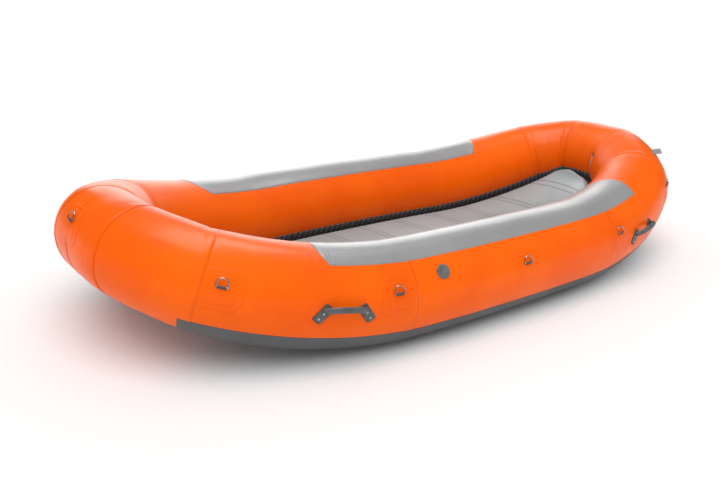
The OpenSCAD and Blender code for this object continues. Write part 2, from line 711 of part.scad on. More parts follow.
module floor_flange() {
    color(DARK_GREY) skin([for (i = [0:len(stations) - 2]) stations[i]],
                          angles_between(flange_low, flange_high), LAYER_GAP, LAYER_GAP + wear_t,
                          loop = true);
}
module floor_hem() {
    color(DARK_GREY) floor_wall(hem_drop + hem_t, hem_drop, PIECE_GAP, hem_w);
}
function hem_point(s, out, up) =
    let (w = wrapped(s), i = station_below(w),
         k = (w - stations[i]) / (stations[i + 1] - stations[i]),
         o = frames[i][1] * (1 - k) + frames[i + 1][1] * k)
    below(tube_point(s, floor_angle, floor_gap), hem_drop - up) + out * o;
// Out across the hem, along it, and up from it
function hem_axes(i) =
    let (m = len(stations) - 1,
         t = unit(hem_point(stations[(i + 1) % m], 0, 0) - hem_point(stations[(i + m - 1) % m], 0, 0)),
         o = unit(frames[i][1] - (frames[i][1] * t) * t))
    [o, t, cross(o, t)];
// Rise of the hem per length from one station to the next
function hem_slope(i) =
    let (m = len(stations) - 1,
         v = hem_point(stations[(i + 1) % m], 0, 0) - hem_point(stations[(i + m) % m], 0, 0))
    v.z / norm([v.x, v.y]);
// A flat eyelet stands higher where the hem bends most, and a slope asks for more height
hem_kinks = [for (i = [0:len(stations) - 2]) abs(hem_slope(i) - hem_slope(i - 1))];
eyelet_lift = max(3 * PIECE_GAP, eyelet_r * max(hem_kinks) / 2);
function upright(i, height) =
    height * norm([1, max(abs(hem_slope(i)), abs(hem_slope(i - 1)))]);
module floor_eyelets() {
    for (i = [0:len(stations) - 2]) color("white")
        multmatrix(placing(hem_point(stations[i], hem_w / 2, upright(i, eyelet_lift)), hem_axes(i)))
            rotate_extrude($fn = 24)
                translate([eyelet_hole_r, 0]) square([eyelet_r - eyelet_hole_r, eyelet_t]);
}
// The lace runs to and fro between the eyelets and the band on the tube
lace_up = eyelet_lift + PIECE_GAP + eyelet_t + lace_r;
module floor_lace() {
    color(DARK_GREY) swept_bar([
        for (i = [0:len(stations) - 2]) each [
            hem_point(stations[i], hem_w / 2 - 4, upright(i, lace_up)),
            tube_point((stations[i] + stations[i + 1]) / 2, flange_high - 8,
                       LAYER_GAP + wear_t + LAYER_GAP + lace_r + 2)
        ]
    ], lace_r, 6, closed = true);
}

// ---- Webbing at the stern ----

strap_arc = stern_arc - 205;
strap_w = 50;
strap_t = 2;
tab_arc = stern_arc - 439;
tab_angle = 55;
tab_l = 50;
tab_w = 62;

// A strap glued down the inside of the stern tube, with its stitched end up
module stern_strap() {
    color("lightsteelblue") skin(arcs_between(strap_arc - strap_w / 2, strap_arc + strap_w / 2),
                                 angles_between(160, 200.5), LAYER_GAP, LAYER_GAP + strap_t);
}
// A stiff webbing tab that stands off the tube, on a sewn foot
module stern_tab() {
    color(LIGHT_GREY) on_tube(tab_arc, tab_angle, 2 * PIECE_GAP) {
        translate([-tab_w / 2, -12, 0]) cube([tab_w, 24, 2.5]);
        translate([-tab_w / 2, -1.5, 0]) cube([tab_w, 3, tab_l]);
    }
}

panel_bow();
panel_stern();
panel_bow_port();
panel_bow_starboard();
panel_stern_port();
panel_stern_starboard();
panel_fore_port();
panel_fore_starboard();
panel_aft_port();
panel_aft_starboard();
panel_mid_port();
panel_mid_starboard();
seam_tapes();
tube_baffles();
bottom_wear_port();
bottom_wear_starboard();
top_wear_port();
top_wear_starboard();
ring_bow();
ring_stern();
ring_port_1();
ring_port_2();
ring_port_3();
ring_port_4();
ring_port_5();
ring_starboard_1();
ring_starboard_2();
ring_starboard_3();
ring_starboard_4();
ring_starboard_5();
ring_patches();
ring_keepers();
handle_fore_port();
handle_fore_starboard();
handle_aft_port();
handle_aft_starboard();
handle_patches();
handle_rivets();
valve_port_body();
valve_port_cap();
valve_port_poppet();
valve_port_spring();
valve_starboard_body();
valve_starboard_cap();
valve_starboard_poppet();
valve_starboard_spring();
valve_floor_body();
valve_floor_cap();
valve_floor_poppet();
valve_floor_spring();
floor_top();
floor_bottom();
floor_sidewall();
floor_ribs();
floor_flange();
floor_hem();
floor_eyelets();
floor_lace();
stern_strap();
stern_tab();
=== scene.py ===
# %% [markdown]
# # An oval whitewater raft
# The raft is a closed ring of air-filled tube round an air-filled floor that is laced
# in. The packed model holds every piece at its true place, with the moving pieces on
# their joints. It is loaded first, because each soft piece made here stands for one
# of its solids, and rides on the body that the solid rides on.

# %% Load the packed raft
import json
import math

import bpy
import numpy as np
from mathutils import Matrix, Vector


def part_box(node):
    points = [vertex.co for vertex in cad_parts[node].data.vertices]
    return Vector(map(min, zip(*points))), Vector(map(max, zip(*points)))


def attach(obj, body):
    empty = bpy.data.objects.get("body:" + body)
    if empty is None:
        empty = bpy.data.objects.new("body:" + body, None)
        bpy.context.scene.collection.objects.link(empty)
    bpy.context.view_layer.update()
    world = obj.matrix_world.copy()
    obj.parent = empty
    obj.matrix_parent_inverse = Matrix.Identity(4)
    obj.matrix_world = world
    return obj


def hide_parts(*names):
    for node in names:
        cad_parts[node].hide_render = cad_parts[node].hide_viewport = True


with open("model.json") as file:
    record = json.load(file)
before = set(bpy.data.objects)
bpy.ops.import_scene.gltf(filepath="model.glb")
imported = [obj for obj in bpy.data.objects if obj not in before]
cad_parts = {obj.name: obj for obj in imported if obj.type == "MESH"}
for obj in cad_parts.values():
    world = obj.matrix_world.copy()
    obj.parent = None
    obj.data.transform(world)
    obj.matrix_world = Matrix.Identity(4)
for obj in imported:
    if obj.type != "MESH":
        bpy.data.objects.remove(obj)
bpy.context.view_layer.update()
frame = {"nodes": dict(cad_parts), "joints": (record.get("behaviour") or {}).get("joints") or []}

# %% [markdown]
# ## Camera
# A long, low boat reads best from one end, a little above the tubes, where the eye
# sees both the outside of the near tube and the inside of the far one. The camera is
# a plain one: its place, the way it looks, and a slight tilt of the horizon.

# %% Place the camera
LENS = 40.38
camera_data = bpy.data.cameras.new("camera")
camera_data.lens = LENS
camera_data.sensor_width = 36.0
camera_data.clip_end = 200.0
camera = bpy.data.objects.new("camera", camera_data)
bpy.context.scene.collection.objects.link(camera)
camera.location = (3.257, 3.676, 1.872)
look = Vector((-0.58439, -0.74212, -0.32826)).normalized()
upward = Vector((-0.17173, -0.28226, 0.94384)).normalized()
sideways = look.cross(upward).normalized()
upward = sideways.cross(look)
camera.rotation_mode = "QUATERNION"
axes = (sideways, upward, -look)
camera.rotation_quaternion = Matrix(axes).transposed().to_quaternion()
bpy.context.scene.camera = camera
print("camera at", [round(v, 2) for v in camera.location], "m, lens", LENS, "mm")

# %% [markdown]
# ## Light
# Evenly bright air and a very soft light from above do the lighting, and a pale floor
# throws light back under the tubes. Reflections are a separate matter. Pale air in
# every reflection would wash the colour out, so the air is nearly dark there, and two
# big soft boxes that light nothing else make the pale bands: a wall beyond the raft,
# and a strip overhead. Small lamps would make hard bright spots instead.

# %% Air, soft light and soft boxes
AIR, AIR_IN_REFLECTIONS = 0.68, 0.04
SOFT_TOP_STRENGTH, SOFT_TOP_SPREAD, SOFT_TOP_WAY = 1.8, math.radians(60), (-0.25, -0.34, -1.0)
RAFT_MIDDLE = (0.0, 0.0, 0.4)


def soft_box(name, place, size, watts):
    """A big flat lamp that faces the raft and shows in reflections alone."""
    data = bpy.data.lights.new(name, "AREA")
    data.shape = "RECTANGLE"
    data.size, data.size_y = size
    data.energy = watts
    lamp = bpy.data.objects.new(name, data)
    bpy.context.scene.collection.objects.link(lamp)
    lamp.location = place
    lamp.rotation_mode = "QUATERNION"
    lamp.rotation_quaternion = (Vector(RAFT_MIDDLE) - Vector(place)).to_track_quat("-Z", "Y")
    lamp.visible_camera = False
    lamp.visible_diffuse = False


world = bpy.data.worlds.new("studio_air")
bpy.context.scene.world = world
world.use_nodes = True
sky = world.node_tree.nodes["Background"]
sky.inputs["Color"].default_value = (1.0, 1.0, 1.0, 1.0)
rays = world.node_tree.nodes.new("ShaderNodeLightPath")
level = world.node_tree.nodes.new("ShaderNodeMapRange")
level.inputs["To Min"].default_value = AIR
level.inputs["To Max"].default_value = AIR_IN_REFLECTIONS
world.node_tree.links.new(rays.outputs["Is Glossy Ray"], level.inputs["Value"])
world.node_tree.links.new(level.outputs["Result"], sky.inputs["Strength"])
sun_data = bpy.data.lights.new("soft_top", "SUN")
sun_data.energy, sun_data.angle = SOFT_TOP_STRENGTH, SOFT_TOP_SPREAD
soft_top = bpy.data.objects.new("soft_top", sun_data)
soft_top.rotation_mode = "QUATERNION"
soft_top.rotation_quaternion = Vector(SOFT_TOP_WAY).to_track_quat("-Z", "Y")
bpy.context.scene.collection.objects.link(soft_top)
soft_top.visible_glossy = False
soft_box("far_wall", (-4.5, -6.5, 2.5), (11.0, 4.4), 480)
soft_box("overhead", (0.3, -0.6, 4.6), (5.0, 1.6), 230)
bpy.context.scene.view_settings.view_transform = "Standard"
bpy.context.scene.view_settings.look = "None"

# %% [markdown]
# ## Writing finishes as sums
# A finish is a small graph of shader nodes, and most of that graph is arithmetic. A
# wrapped socket that knows how to add and multiply lets each finish be written the
# way it would be said: roughness is a base value plus a little noise. Colours and
# vectors keep their own Mix and Vector Math nodes.

# %% A wire that can be added
class Wire:
    """One output of a shader node, which adds Math nodes when it is reckoned with."""

    def __init__(self, finish, socket):
        self.finish, self.socket = finish, socket

    def maths(self, kind, first, second, clamp=False):
        settings = {"operation": kind, "use_clamp": clamp}
        return self.finish.node("ShaderNodeMath", settings, {0: first, 1: second})

    def __add__(self, other): return self.maths("ADD", self, other)
    def __radd__(self, other): return self.maths("ADD", other, self)
    def __sub__(self, other): return self.maths("SUBTRACT", self, other)
    def __rsub__(self, other): return self.maths("SUBTRACT", other, self)
    def __mul__(self, other): return self.maths("MULTIPLY", self, other)
    def __rmul__(self, other): return self.maths("MULTIPLY", other, self)
    def clamped(self): return self.maths("ADD", self, 0.0, clamp=True)
    def sine(self): return self.maths("SINE", self, 0.0)
    def size(self): return self.maths("ABSOLUTE", self, 0.0)


print("wires can be added, taken away and multiplied")

# %% [markdown]
# ## A finish
# Every finish starts as an empty graph, and one method makes any node from its type,
# its settings and what goes into its sockets. The others are short names for nodes
# that recur: noise, a mix of two colours, a mask stored on the mesh, a smooth step
# and a bump.

# %% The finish that wires belong to
class Finish:
    """One material and the helpers that fill its graph."""

    def __init__(self, name):
        self.material = bpy.data.materials.new(name)
        self.material.use_nodes = True
        self.tree = self.material.node_tree
        self.tree.nodes.clear()

    def node(self, kind, settings=None, values=None, out=0):
        made = self.tree.nodes.new(kind)
        for key, value in (settings or {}).items():
            setattr(made, key, value)
        for key, value in (values or {}).items():
            socket = made.inputs[key]
            if isinstance(value, Wire):
                self.tree.links.new(value.socket, socket)
            else:
                socket.default_value = value
        return Wire(self, made.outputs[out])

    def place(self):
        """Metres in the raft's own frame."""
        return self.node("ShaderNodeTexCoord", out="Object")

    def skin(self):
        """Metres along the tube and round it."""
        return self.node("ShaderNodeUVMap", {"uv_map": "skin"})

    def part(self, vector, axis):
        return self.node("ShaderNodeSeparateXYZ", None, {0: vector}, axis)

    def stretch(self, vector, factors):
        return self.node("ShaderNodeVectorMath", {"operation": "MULTIPLY"},
                         {0: vector, 1: factors})

    def noise(self, vector, scale, detail=2.0, rough=0.5, warp=0.0):
        return self.node("ShaderNodeTexNoise", None, {
            "Vector": vector, "Scale": scale, "Detail": detail,
            "Roughness": rough, "Distortion": warp})

    def mixed(self, mask, low, high):
        return self.node("ShaderNodeMix", {"data_type": "RGBA"},
                         {0: mask, 6: low, 7: high}, 2)

    def mask(self, name):
        return self.node("ShaderNodeAttribute", {"attribute_name": name}, out="Fac")

    def between(self, wire, low, high):
        """0 below low, 1 above high, and smooth between."""
        return self.node("ShaderNodeMapRange", {"interpolation_type": "SMOOTHSTEP"},
                         {0: wire, 1: low, 2: high, 3: 0.0, 4: 1.0})

    def bump(self, height, distance):
        return self.node("ShaderNodeBump", None,
                         {"Height": height, "Distance": distance, "Strength": 1.0})

    def surface(self, values):
        shade = self.node("ShaderNodeBsdfPrincipled", None, values)
        output = self.tree.nodes.new("ShaderNodeOutputMaterial")
        self.tree.links.new(shade.socket, output.inputs["Surface"])
        return self.material


print("a finish has", sum(not name.startswith("_") for name in vars(Finish)), "short names")

# %% [markdown]
# ## The tube's line
# Seen from above the ring is a superellipse, squarer than an ellipse, and from the
# side it lies level in the middle and sweeps up at both ends while it gets thinner.
# The same few numbers shape the packed solids, so the two agree and every patch can
# be laid on the skin by two coordinates: how far along, and how far round.

# %% Sizes of the ring, and points along its middle
HALF_LENGTH = 1.9
HALF_WIDTH = 0.768
SIDE_RADIUS = 0.262
END_RADIUS = 0.235
GROUND_GAP = 0.0023
END_RISE, RISE_START, RISE_POWER = 0.267, 0.636, 2.27
TAPER_START, TAPER_POWER = 0.755, 2.64
PLAN_POWER = 2.69
TABLE_STEPS = 180


def past(x, start):
    return np.clip((np.abs(x) - start) / (HALF_LENGTH - start), 0, None)


def centre_height(x):
    return SIDE_RADIUS + GROUND_GAP + END_RISE * past(x, RISE_START) ** RISE_POWER


def tube_radius(x):
    return SIDE_RADIUS - (SIDE_RADIUS - END_RADIUS) * past(x, TAPER_START) ** TAPER_POWER


def quarter_point(degrees):
    turn = np.radians(degrees)
    x = HALF_LENGTH * np.clip(np.cos(turn), 0, None) ** (2 / PLAN_POWER)
    y = HALF_WIDTH * np.clip(np.sin(turn), 0, None) ** (2 / PLAN_POWER)
    return np.stack([x, y, centre_height(x)], -1)


table_turn = np.linspace(0, 90, TABLE_STEPS + 1)
table_arc = np.concatenate([[0], np.cumsum(
    np.linalg.norm(np.diff(quarter_point(table_turn), axis=0), axis=1))])
QUARTER = table_arc[-1]
STERN, LOOP = 2 * QUARTER, 4 * QUARTER


def round_point(s):
    """The ring's middle, s metres from the bow towards port."""
    s = np.mod(np.asarray(s, float), LOOP)
    quadrant = np.minimum(3, np.floor(s / QUARTER))
    folded = np.where(quadrant % 2 == 0, s - quadrant * QUARTER, (quadrant + 1) * QUARTER - s)
    p = quarter_point(np.interp(folded, table_arc, table_turn))
    p[..., 0] *= np.where((quadrant == 0) | (quadrant == 3), 1, -1)
    p[..., 1] *= np.where(quadrant < 2, 1, -1)
    return p


# %% [markdown]
# ## Mitred ends
# A tube can't be bent out of flat fabric, so the ends are short straight lengths
# joined at an angle, like a stove pipe's elbow, and the air then rounds them. Here
# each length's middle line is pulled part of the way to the straight line between
# its seams, which leaves the slight corners that the real outline shows.

# %% Seams, and the line between them
SEAM_1, SEAM_2, SEAM_3 = 0.18, 0.55, 1.53
seams = np.array([middle + side * seam for middle in (0, STERN) for side in (-1, 1)
                  for seam in (SEAM_1, SEAM_2, SEAM_3)])
seams = np.unique(np.round(np.mod(seams, LOOP), 6))
BOW_PULL, CORNER_PULL, SIDE_PULL = 0.3, 0.5, 0.12
BOW_LONGEST, CORNER_LONGEST, SIDE_LONGEST = 0.365, 0.5, 1.2
AXIS_STEP = 0.02


def tube_middle(s):
    s = np.mod(np.asarray(s, float), LOOP)
    following = np.searchsorted(seams, s, side="right")
    low = np.where(following == 0, seams[-1] - LOOP, seams[following - 1])
    high = np.where(following == len(seams), seams[0] + LOOP, seams[following % len(seams)])
    share = ((s - low) / (high - low))[..., None]
    chord = round_point(low) * (1 - share) + round_point(high) * share
    length = high - low
    pull = np.select([length < BOW_LONGEST, length < CORNER_LONGEST, length < SIDE_LONGEST],
                     [BOW_PULL, CORNER_PULL, SIDE_PULL], 0.0)[..., None]
    return round_point(s) * (1 - pull) + chord * pull


def tube_axes(s):
    """Outward, upward and along-the-tube directions, and the radius."""
    s = np.asarray(s, float)
    along = round_point(s + AXIS_STEP) - round_point(s - AXIS_STEP)
    along /= np.linalg.norm(along, axis=-1, keepdims=True)
    out = np.cross(along, [0, 0, 1.0])
    out /= np.linalg.norm(out, axis=-1, keepdims=True)
    return out, np.cross(out, along), along, tube_radius(round_point(s)[..., 0])


def from_seam(s, seam):
    away = np.abs(np.mod(s, LOOP) - seam)
    return np.minimum(away, LOOP - away)


print("seams at", [round(float(v), 2) for v in seams])

# %% [markdown]
# ## The skin's small ups and downs
# Air pushes each panel out between its seams, so every seam lies in a shallow
# crease. On the inside of a bend the fabric has nowhere to go, and gathers in short
# folds across the tube. The two are heights added to the round tube.

# %% Creases, folds and slow waves
CREASE_DEPTHS = {SEAM_1: 0.0042, SEAM_2: 0.0036, SEAM_3: 0.0003}
CREASE_WIDTH = 0.03
END_REACH = 0.75
FOLD_PITCH, FOLD_DEEP, SLOW_DEEP = 0.046, 0.0016, 0.0011


def near(s, seam, width):
    return np.exp(-(from_seam(s, seam) / width) ** 2)


def ends_seams():
    for middle in (0, STERN):
        for side in (-1, 1):
            for seam in (SEAM_1, SEAM_2, SEAM_3):
                yield np.mod(middle + side * seam, LOOP), seam


def inside_bend(angle):
    """1 on the side of the tube that faces the cockpit."""
    return np.clip(-np.cos(np.radians(angle)), 0, 1)


def skin_rise(s, angle):
    """Height of the visible skin over the round tube, in metres."""
    s, angle = np.broadcast_arrays(np.asarray(s, float), np.asarray(angle, float))
    turn = np.radians(angle)
    inner = inside_bend(angle)
    rise = np.zeros(s.shape)
    for place, seam in ends_seams():
        rise -= CREASE_DEPTHS[seam] * (0.55 + 1.6 * inner) * near(s, place, CREASE_WIDTH)
    for middle in (0, STERN):
        bend = np.exp(-(from_seam(s, middle) / END_REACH) ** 4)
        fold = np.sin(2 * np.pi * s / FOLD_PITCH + 2.0 * np.sin(3 * turn) + 3.1 * np.sin(9 * s))
        rise += FOLD_DEEP * bend * inner ** 2 * fold * (0.5 + 0.5 * np.sin(5.1 * s + 2 * turn))
        slow = np.sin(2 * np.pi * s / 0.31 + 2 * turn) * np.sin(2 * np.pi * s / 0.83 - 3 * turn)
        rise += SLOW_DEEP * bend * slow
    wave = 2 * np.pi * s / LOOP
    rise += 0.0003 * np.sin(17 * wave + 2 * turn) + 0.0002 * np.sin(29 * wave - 3 * turn)
    return rise


crease_drop = -1000 * float(skin_rise(SEAM_1, 180.0))
print("inside the first seam the skin lies", round(crease_drop, 1), "mm low")

# %% [markdown]
# ## Laying points on the skin
# Every later piece is laid on the tube by two coordinates, so one function turns them
# into a place, and another finds them for a place that the packed model gives, such
# as a ring's bar. Near a valve the stiff flange holds the fabric flat, so the height
# there follows the flange.

# %% Points on the tube, and the flat places at the valves
def on_tube(s, angle, lift=0.0):
    """Points on the tube, some way along and round, a lift above the skin."""
    s, angle, lift = np.broadcast_arrays(
        np.asarray(s, float), np.asarray(angle, float), np.asarray(lift, float))
    out, up, _, radius = tube_axes(s)
    turn = np.radians(angle)[..., None]
    height = radius + lift + (skin_rise(s, angle) + valve_flat(s, angle))
    return tube_middle(s) + height[..., None] * (np.cos(turn) * out + np.sin(turn) * up)


def where_on_tube(point):
    """How far along and round the tube a point lies."""
    tries = np.arange(0, LOOP, 0.002)
    s = tries[np.argmin(np.linalg.norm(round_point(tries) - np.array(point), axis=1))]
    out, up, _, _ = tube_axes(s)
    off = np.array(point) - round_point(s)
    return float(s), float(np.degrees(np.arctan2(off @ up, off @ out)))


joint_places = {j["name"]: j.get("pos_m") for j in frame["joints"]}
valve_places = [where_on_tube(joint_places[f"valve_{side}_cap_turn"])
                for side in ("port", "starboard")]
FLANGE_RADIUS, FLANGE_MARGIN, FLANGE_BLEND, MOST_FLAT = 0.038, 0.016, 0.008, 0.006


def valve_flat(s, angle):
    """Pulls the round skin out to the flat plane of a valve's flange."""
    rise = np.zeros(np.shape(s))
    for valve_s, valve_angle in valve_places:
        round_way = np.radians(angle - valve_angle) * SIDE_RADIUS
        away = np.hypot(from_seam(s, valve_s), round_way)
        lean = np.clip(np.radians(angle - valve_angle), -1, 1)
        to_flat = SIDE_RADIUS / np.cos(lean) - SIDE_RADIUS
        held = 0.5 - 0.5 * np.tanh((away - FLANGE_RADIUS - FLANGE_MARGIN) / FLANGE_BLEND)
        rise = rise + held * np.minimum(to_flat, MOST_FLAT)
    return rise


print("tube valves at", [(round(s, 2), round(a, 1)) for s, a in valve_places])

# %% [markdown]
# ## Meshes from grids
# Nearly every soft piece here is a sheet laid on the tube, and a sheet is a grid of
# points with a face in every cell. Working the faces out for the whole grid at once
# is much quicker than adding them one by one.

# %% A piece from its points and faces
raft_collection = bpy.context.scene.collection
FABRIC = 0.0013


def new_piece(name, points, faces, corners=None, smooth=True, fields=None):
    """A mesh object. corners holds the skin coordinates of every face corner."""
    mesh = bpy.data.meshes.new(name)
    mesh.from_pydata(np.asarray(points, float).tolist(), [], [list(map(int, f)) for f in faces])
    if corners is not None:
        layer = mesh.uv_layers.new(name="skin")
        layer.data.foreach_set("uv", np.asarray(corners, np.float32).ravel())
    for key, values in (fields or {}).items():
        field = mesh.attributes.new(key, "FLOAT", "POINT")
        field.data.foreach_set("value", np.asarray(values, np.float32).ravel())
    mesh.validate()
    mesh.polygons.foreach_set("use_smooth", [smooth] * len(mesh.polygons))
    made = bpy.data.objects.new(name, mesh)
    raft_collection.objects.link(made)
    return made


def grid_faces(rows, columns, wrap, start=0, turned=False):
    i, j = np.meshgrid(np.arange(rows - 1), np.arange(columns if wrap else columns - 1),
                       indexing="ij")
    nxt = (j + 1) % columns
    quads = np.stack([i * columns + j, i * columns + nxt,
                      (i + 1) * columns + nxt, (i + 1) * columns + j], -1).reshape(-1, 4)
    cells = np.stack([np.stack([i, j], -1), np.stack([i, j + 1], -1),
                      np.stack([i + 1, j + 1], -1), np.stack([i + 1, j], -1)], 2).reshape(-1, 4, 2)
    if turned:
        quads, cells = quads[:, ::-1], cells[:, ::-1]
    return quads + start, cells


print("fabric is", FABRIC * 1000, "mm thick")

# %% [markdown]
# ## Closing a sheet
# A sheet with a real thickness is two grids of points and a rim of narrow faces that
# joins them. It is closed, so it throws proper shadows and can be printed or cut,
# which a bare surface can't. Each face corner keeps its skin coordinates in metres,
# and the finishes use them to run threads and folds along the tube.

# %% Closed sheets, and what is said about each piece
def closed_sheet(name, top, bottom, uv, wrap=False, fields=None):
    """top and bottom are grids of points; uv has one more column when the grid wraps."""
    rows, columns = top.shape[:2]
    count = rows * columns
    quads, cells = grid_faces(rows, columns, wrap)
    under, under_cells = grid_faces(rows, columns, wrap, count, turned=True)
    faces, places = [quads, under], [cells, under_cells]

    def rim(a, b, cell_a, cell_b):
        faces.append(np.array([[a, b, b + count, a + count]]))
        places.append(np.array([[cell_a, cell_b, cell_b, cell_a]]))

    last = (rows - 1) * columns
    for j in range(columns if wrap else columns - 1):
        k = (j + 1) % columns
        rim(k, j, (0, j + 1), (0, j))
        rim(last + j, last + k, (rows - 1, j), (rows - 1, j + 1))
    if not wrap:
        for i in range(rows - 1):
            rim(i * columns, (i + 1) * columns, (i, 0), (i + 1, 0))
            rim((i + 1) * columns + columns - 1, i * columns + columns - 1,
                (i + 1, columns - 1), (i, columns - 1))
    faces, places = np.concatenate(faces), np.concatenate(places)
    points = np.concatenate([top.reshape(-1, 3), bottom.reshape(-1, 3)])
    corners = uv[places[..., 0], places[..., 1]]
    doubled = {k: np.concatenate([v.ravel(), v.ravel()]) for k, v in (fields or {}).items()}
    return new_piece(name, points, faces, corners, fields=doubled)


def skin_uv(s, angle):
    """Metres along and metres round, for finishes that follow the tube."""
    s, angle = np.broadcast_arrays(s, angle)
    return np.stack([s, np.radians(angle) * SIDE_RADIUS], -1)


def tidy(piece, body, slot, *stands_for):
    """Rides on its body and stands for its packed solids; slot is not used."""
    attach(piece, body)
    if stands_for:
        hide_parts(*stands_for)
    return piece


def dress(piece, material):
    piece.data.materials.clear()
    piece.data.materials.append(material)
    return piece


print("sheet helpers ready")

# %% [markdown]
# ## Coated fabric
# The tube is woven cloth under a thick coat of orange plastic, so no weave shows:
# what shows is a soft gloss, broken by slow waves where the cloth has relaxed and by
# fine creases near the seams. Broad noise varies the gloss, and a stretched noise
# bends the highlights as tension lines do. The same recipe, with other numbers,
# makes the grey wear layers.

# %% Coated fabric in any colour
def coated_fabric(name, colour, deeper, rough=0.34, gloss_change=0.16, coat=0.05, ripple=1.0,
                  shine=0.13):
    finish = Finish(name)
    place, skin = finish.place(), finish.skin()
    clouds = finish.noise(place, 2.6, 3.0, 0.55)
    specks = finish.noise(place, 90.0, 2.0)
    worn = finish.mask("creased")
    tint = (finish.between(clouds, 0.35, 0.7) * 0.7 + specks * 0.3).clamped()
    drawn = finish.noise(finish.stretch(skin, (3.0, 16.0, 1.0)), 1.0, 3.0, 0.6, 0.4)
    pulled = finish.noise(finish.stretch(skin, (46.0, 4.0, 1.0)), 1.0, 3.0, 0.55, 0.6)
    fine = finish.noise(place, 260.0, 2.0)
    height = drawn * (0.0016 * ripple) + pulled * worn * 0.0055 + fine * 0.00002
    gloss = rough + (clouds - 0.5) * gloss_change + (specks - 0.5) * 0.06 + worn * 0.05
    return finish.surface({
        "Base Color": finish.mixed(tint, (*colour, 1.0), (*deeper, 1.0)),
        "Roughness": gloss, "Normal": finish.bump(height, 1.0),
        "Specular IOR Level": shine, "Coat Weight": coat, "Coat Roughness": 0.16})


orange_fabric = coated_fabric("orange_fabric", (0.93, 0.13, 0.0), (0.84, 0.098, 0.0))
orange_patch = coated_fabric("orange_patch", (0.91, 0.124, 0.0), (0.82, 0.094, 0.0),
                             rough=0.33, ripple=0.5)
light_wear = coated_fabric("light_wear", (0.29, 0.29, 0.29), (0.25, 0.25, 0.255), rough=0.36,
                           ripple=1.2, coat=0.25, shine=0.42)
dark_wear = coated_fabric("dark_wear", (0.115, 0.118, 0.12), (0.09, 0.092, 0.095), rough=0.45,
                          coat=0.0, ripple=0.6)
print("coated fabrics", [m.name for m in (orange_fabric, orange_patch, light_wear, dark_wear)])

# %% [markdown]
# ## Tube panels
# Twelve panels make the ring. Each laps over the next at its seam, where it is
# welded down, so the seam shows as a raised edge as thick as the fabric. A panel is
# swept here as a closed sheet whose last few centimetres climb onto its neighbour.

# %% Sweep the panels
LAP, LAP_BACK, LAP_CLIMB = 0.032, 0.004, 0.014
SIDE_LAP = 0.0006
SIDE_SEAMS = (SEAM_3, STERN - SEAM_3, STERN + SEAM_3, LOOP - SEAM_3)
ANGLE_STEP = 3.0
ARC_STEP = 0.014
round_angles = np.arange(-90, 270, ANGLE_STEP)


def arc_samples(start, end, extra):
    count = max(2, int(round((end - start) / ARC_STEP)) + 1)
    return np.unique(np.concatenate([np.linspace(start, end, count), list(extra)]))


def creased_share(s, angle):
    """Where the fabric is gathered: by the seams, most of all inside the bends."""
    share = np.zeros(np.broadcast(s, angle).shape)
    for place, seam in ends_seams():
        amount = 1.0 if seam < SEAM_3 else 0.25
        share = share + amount * near(s, place, 0.07) * (0.25 + 0.75 * inside_bend(angle))
    for middle in (0, STERN):
        gathered = 0.25 + 0.6 * inside_bend(angle) ** 2
        share = share + gathered * np.exp(-(from_seam(s, middle) / END_REACH) ** 4)
        for side in (-1, 1):
            wear_end = np.exp(-(from_seam(s, np.mod(middle + side * 1.05, LOOP)) / 0.11) ** 2)
            share = share + 0.7 * wear_end * np.exp(-((angle - 90) / 45) ** 2)
    return np.clip(share, 0, 1)


def panel(name, start, end, *stands_for):
    lap_start, lap_end = end - LAP_BACK, end + LAP
    arcs = arc_samples(start, lap_end, (lap_start - 0.012, lap_start, lap_start + 0.006))
    s, angle = np.meshgrid(arcs, round_angles, indexing="ij")
    climb = np.clip((s - lap_start + 0.012) / LAP_CLIMB, 0, 1)
    at_side = min(abs(end - seam) for seam in SIDE_SEAMS) < 0.001
    lift = (SIDE_LAP if at_side else FABRIC + 0.0004) * climb * climb * (3 - 2 * climb)
    uv_s, uv_angle = np.meshgrid(arcs, np.append(round_angles, 270.0), indexing="ij")
    made = closed_sheet(name, on_tube(s, angle, lift), on_tube(s, angle, lift - FABRIC),
                        skin_uv(uv_s, uv_angle), wrap=True,
                        fields={"creased": creased_share(s, angle)})
    return dress(tidy(made, "hull", "tube_fabric", *stands_for), orange_fabric)


panel_ends = {
    "panel_bow": (-SEAM_1, SEAM_1), "panel_stern": (STERN - SEAM_1, STERN + SEAM_1),
    "panel_bow_port": (SEAM_1, SEAM_2), "panel_bow_starboard": (LOOP - SEAM_2, LOOP - SEAM_1),
    "panel_stern_port": (STERN - SEAM_2, STERN - SEAM_1),
    "panel_stern_starboard": (STERN + SEAM_1, STERN + SEAM_2),
    "panel_fore_port": (SEAM_2, SEAM_3), "panel_fore_starboard": (LOOP - SEAM_3, LOOP - SEAM_2),
    "panel_aft_port": (STERN - SEAM_3, STERN - SEAM_2),
    "panel_aft_starboard": (STERN + SEAM_2, STERN + SEAM_3),
    "panel_mid_port": (SEAM_3, STERN - SEAM_3),
    "panel_mid_starboard": (STERN + SEAM_3, LOOP - SEAM_3),
}
panels = {name: panel(name.replace("panel", "skin"), start, end, name)
          for name, (start, end) in panel_ends.items()}
print("panels", len(panels), "faces", sum(len(p.data.polygons) for p in panels.values()))

# %% [markdown]
# ## Tapes and walls inside
# Inside every seam runs a flat tape that takes the pull of the air, and a wall of
# fabric splits the ring in two at the bow and at the stern. Nobody sees them on an
# inflated raft, but they are real pieces, so the tapes follow the creased skin.

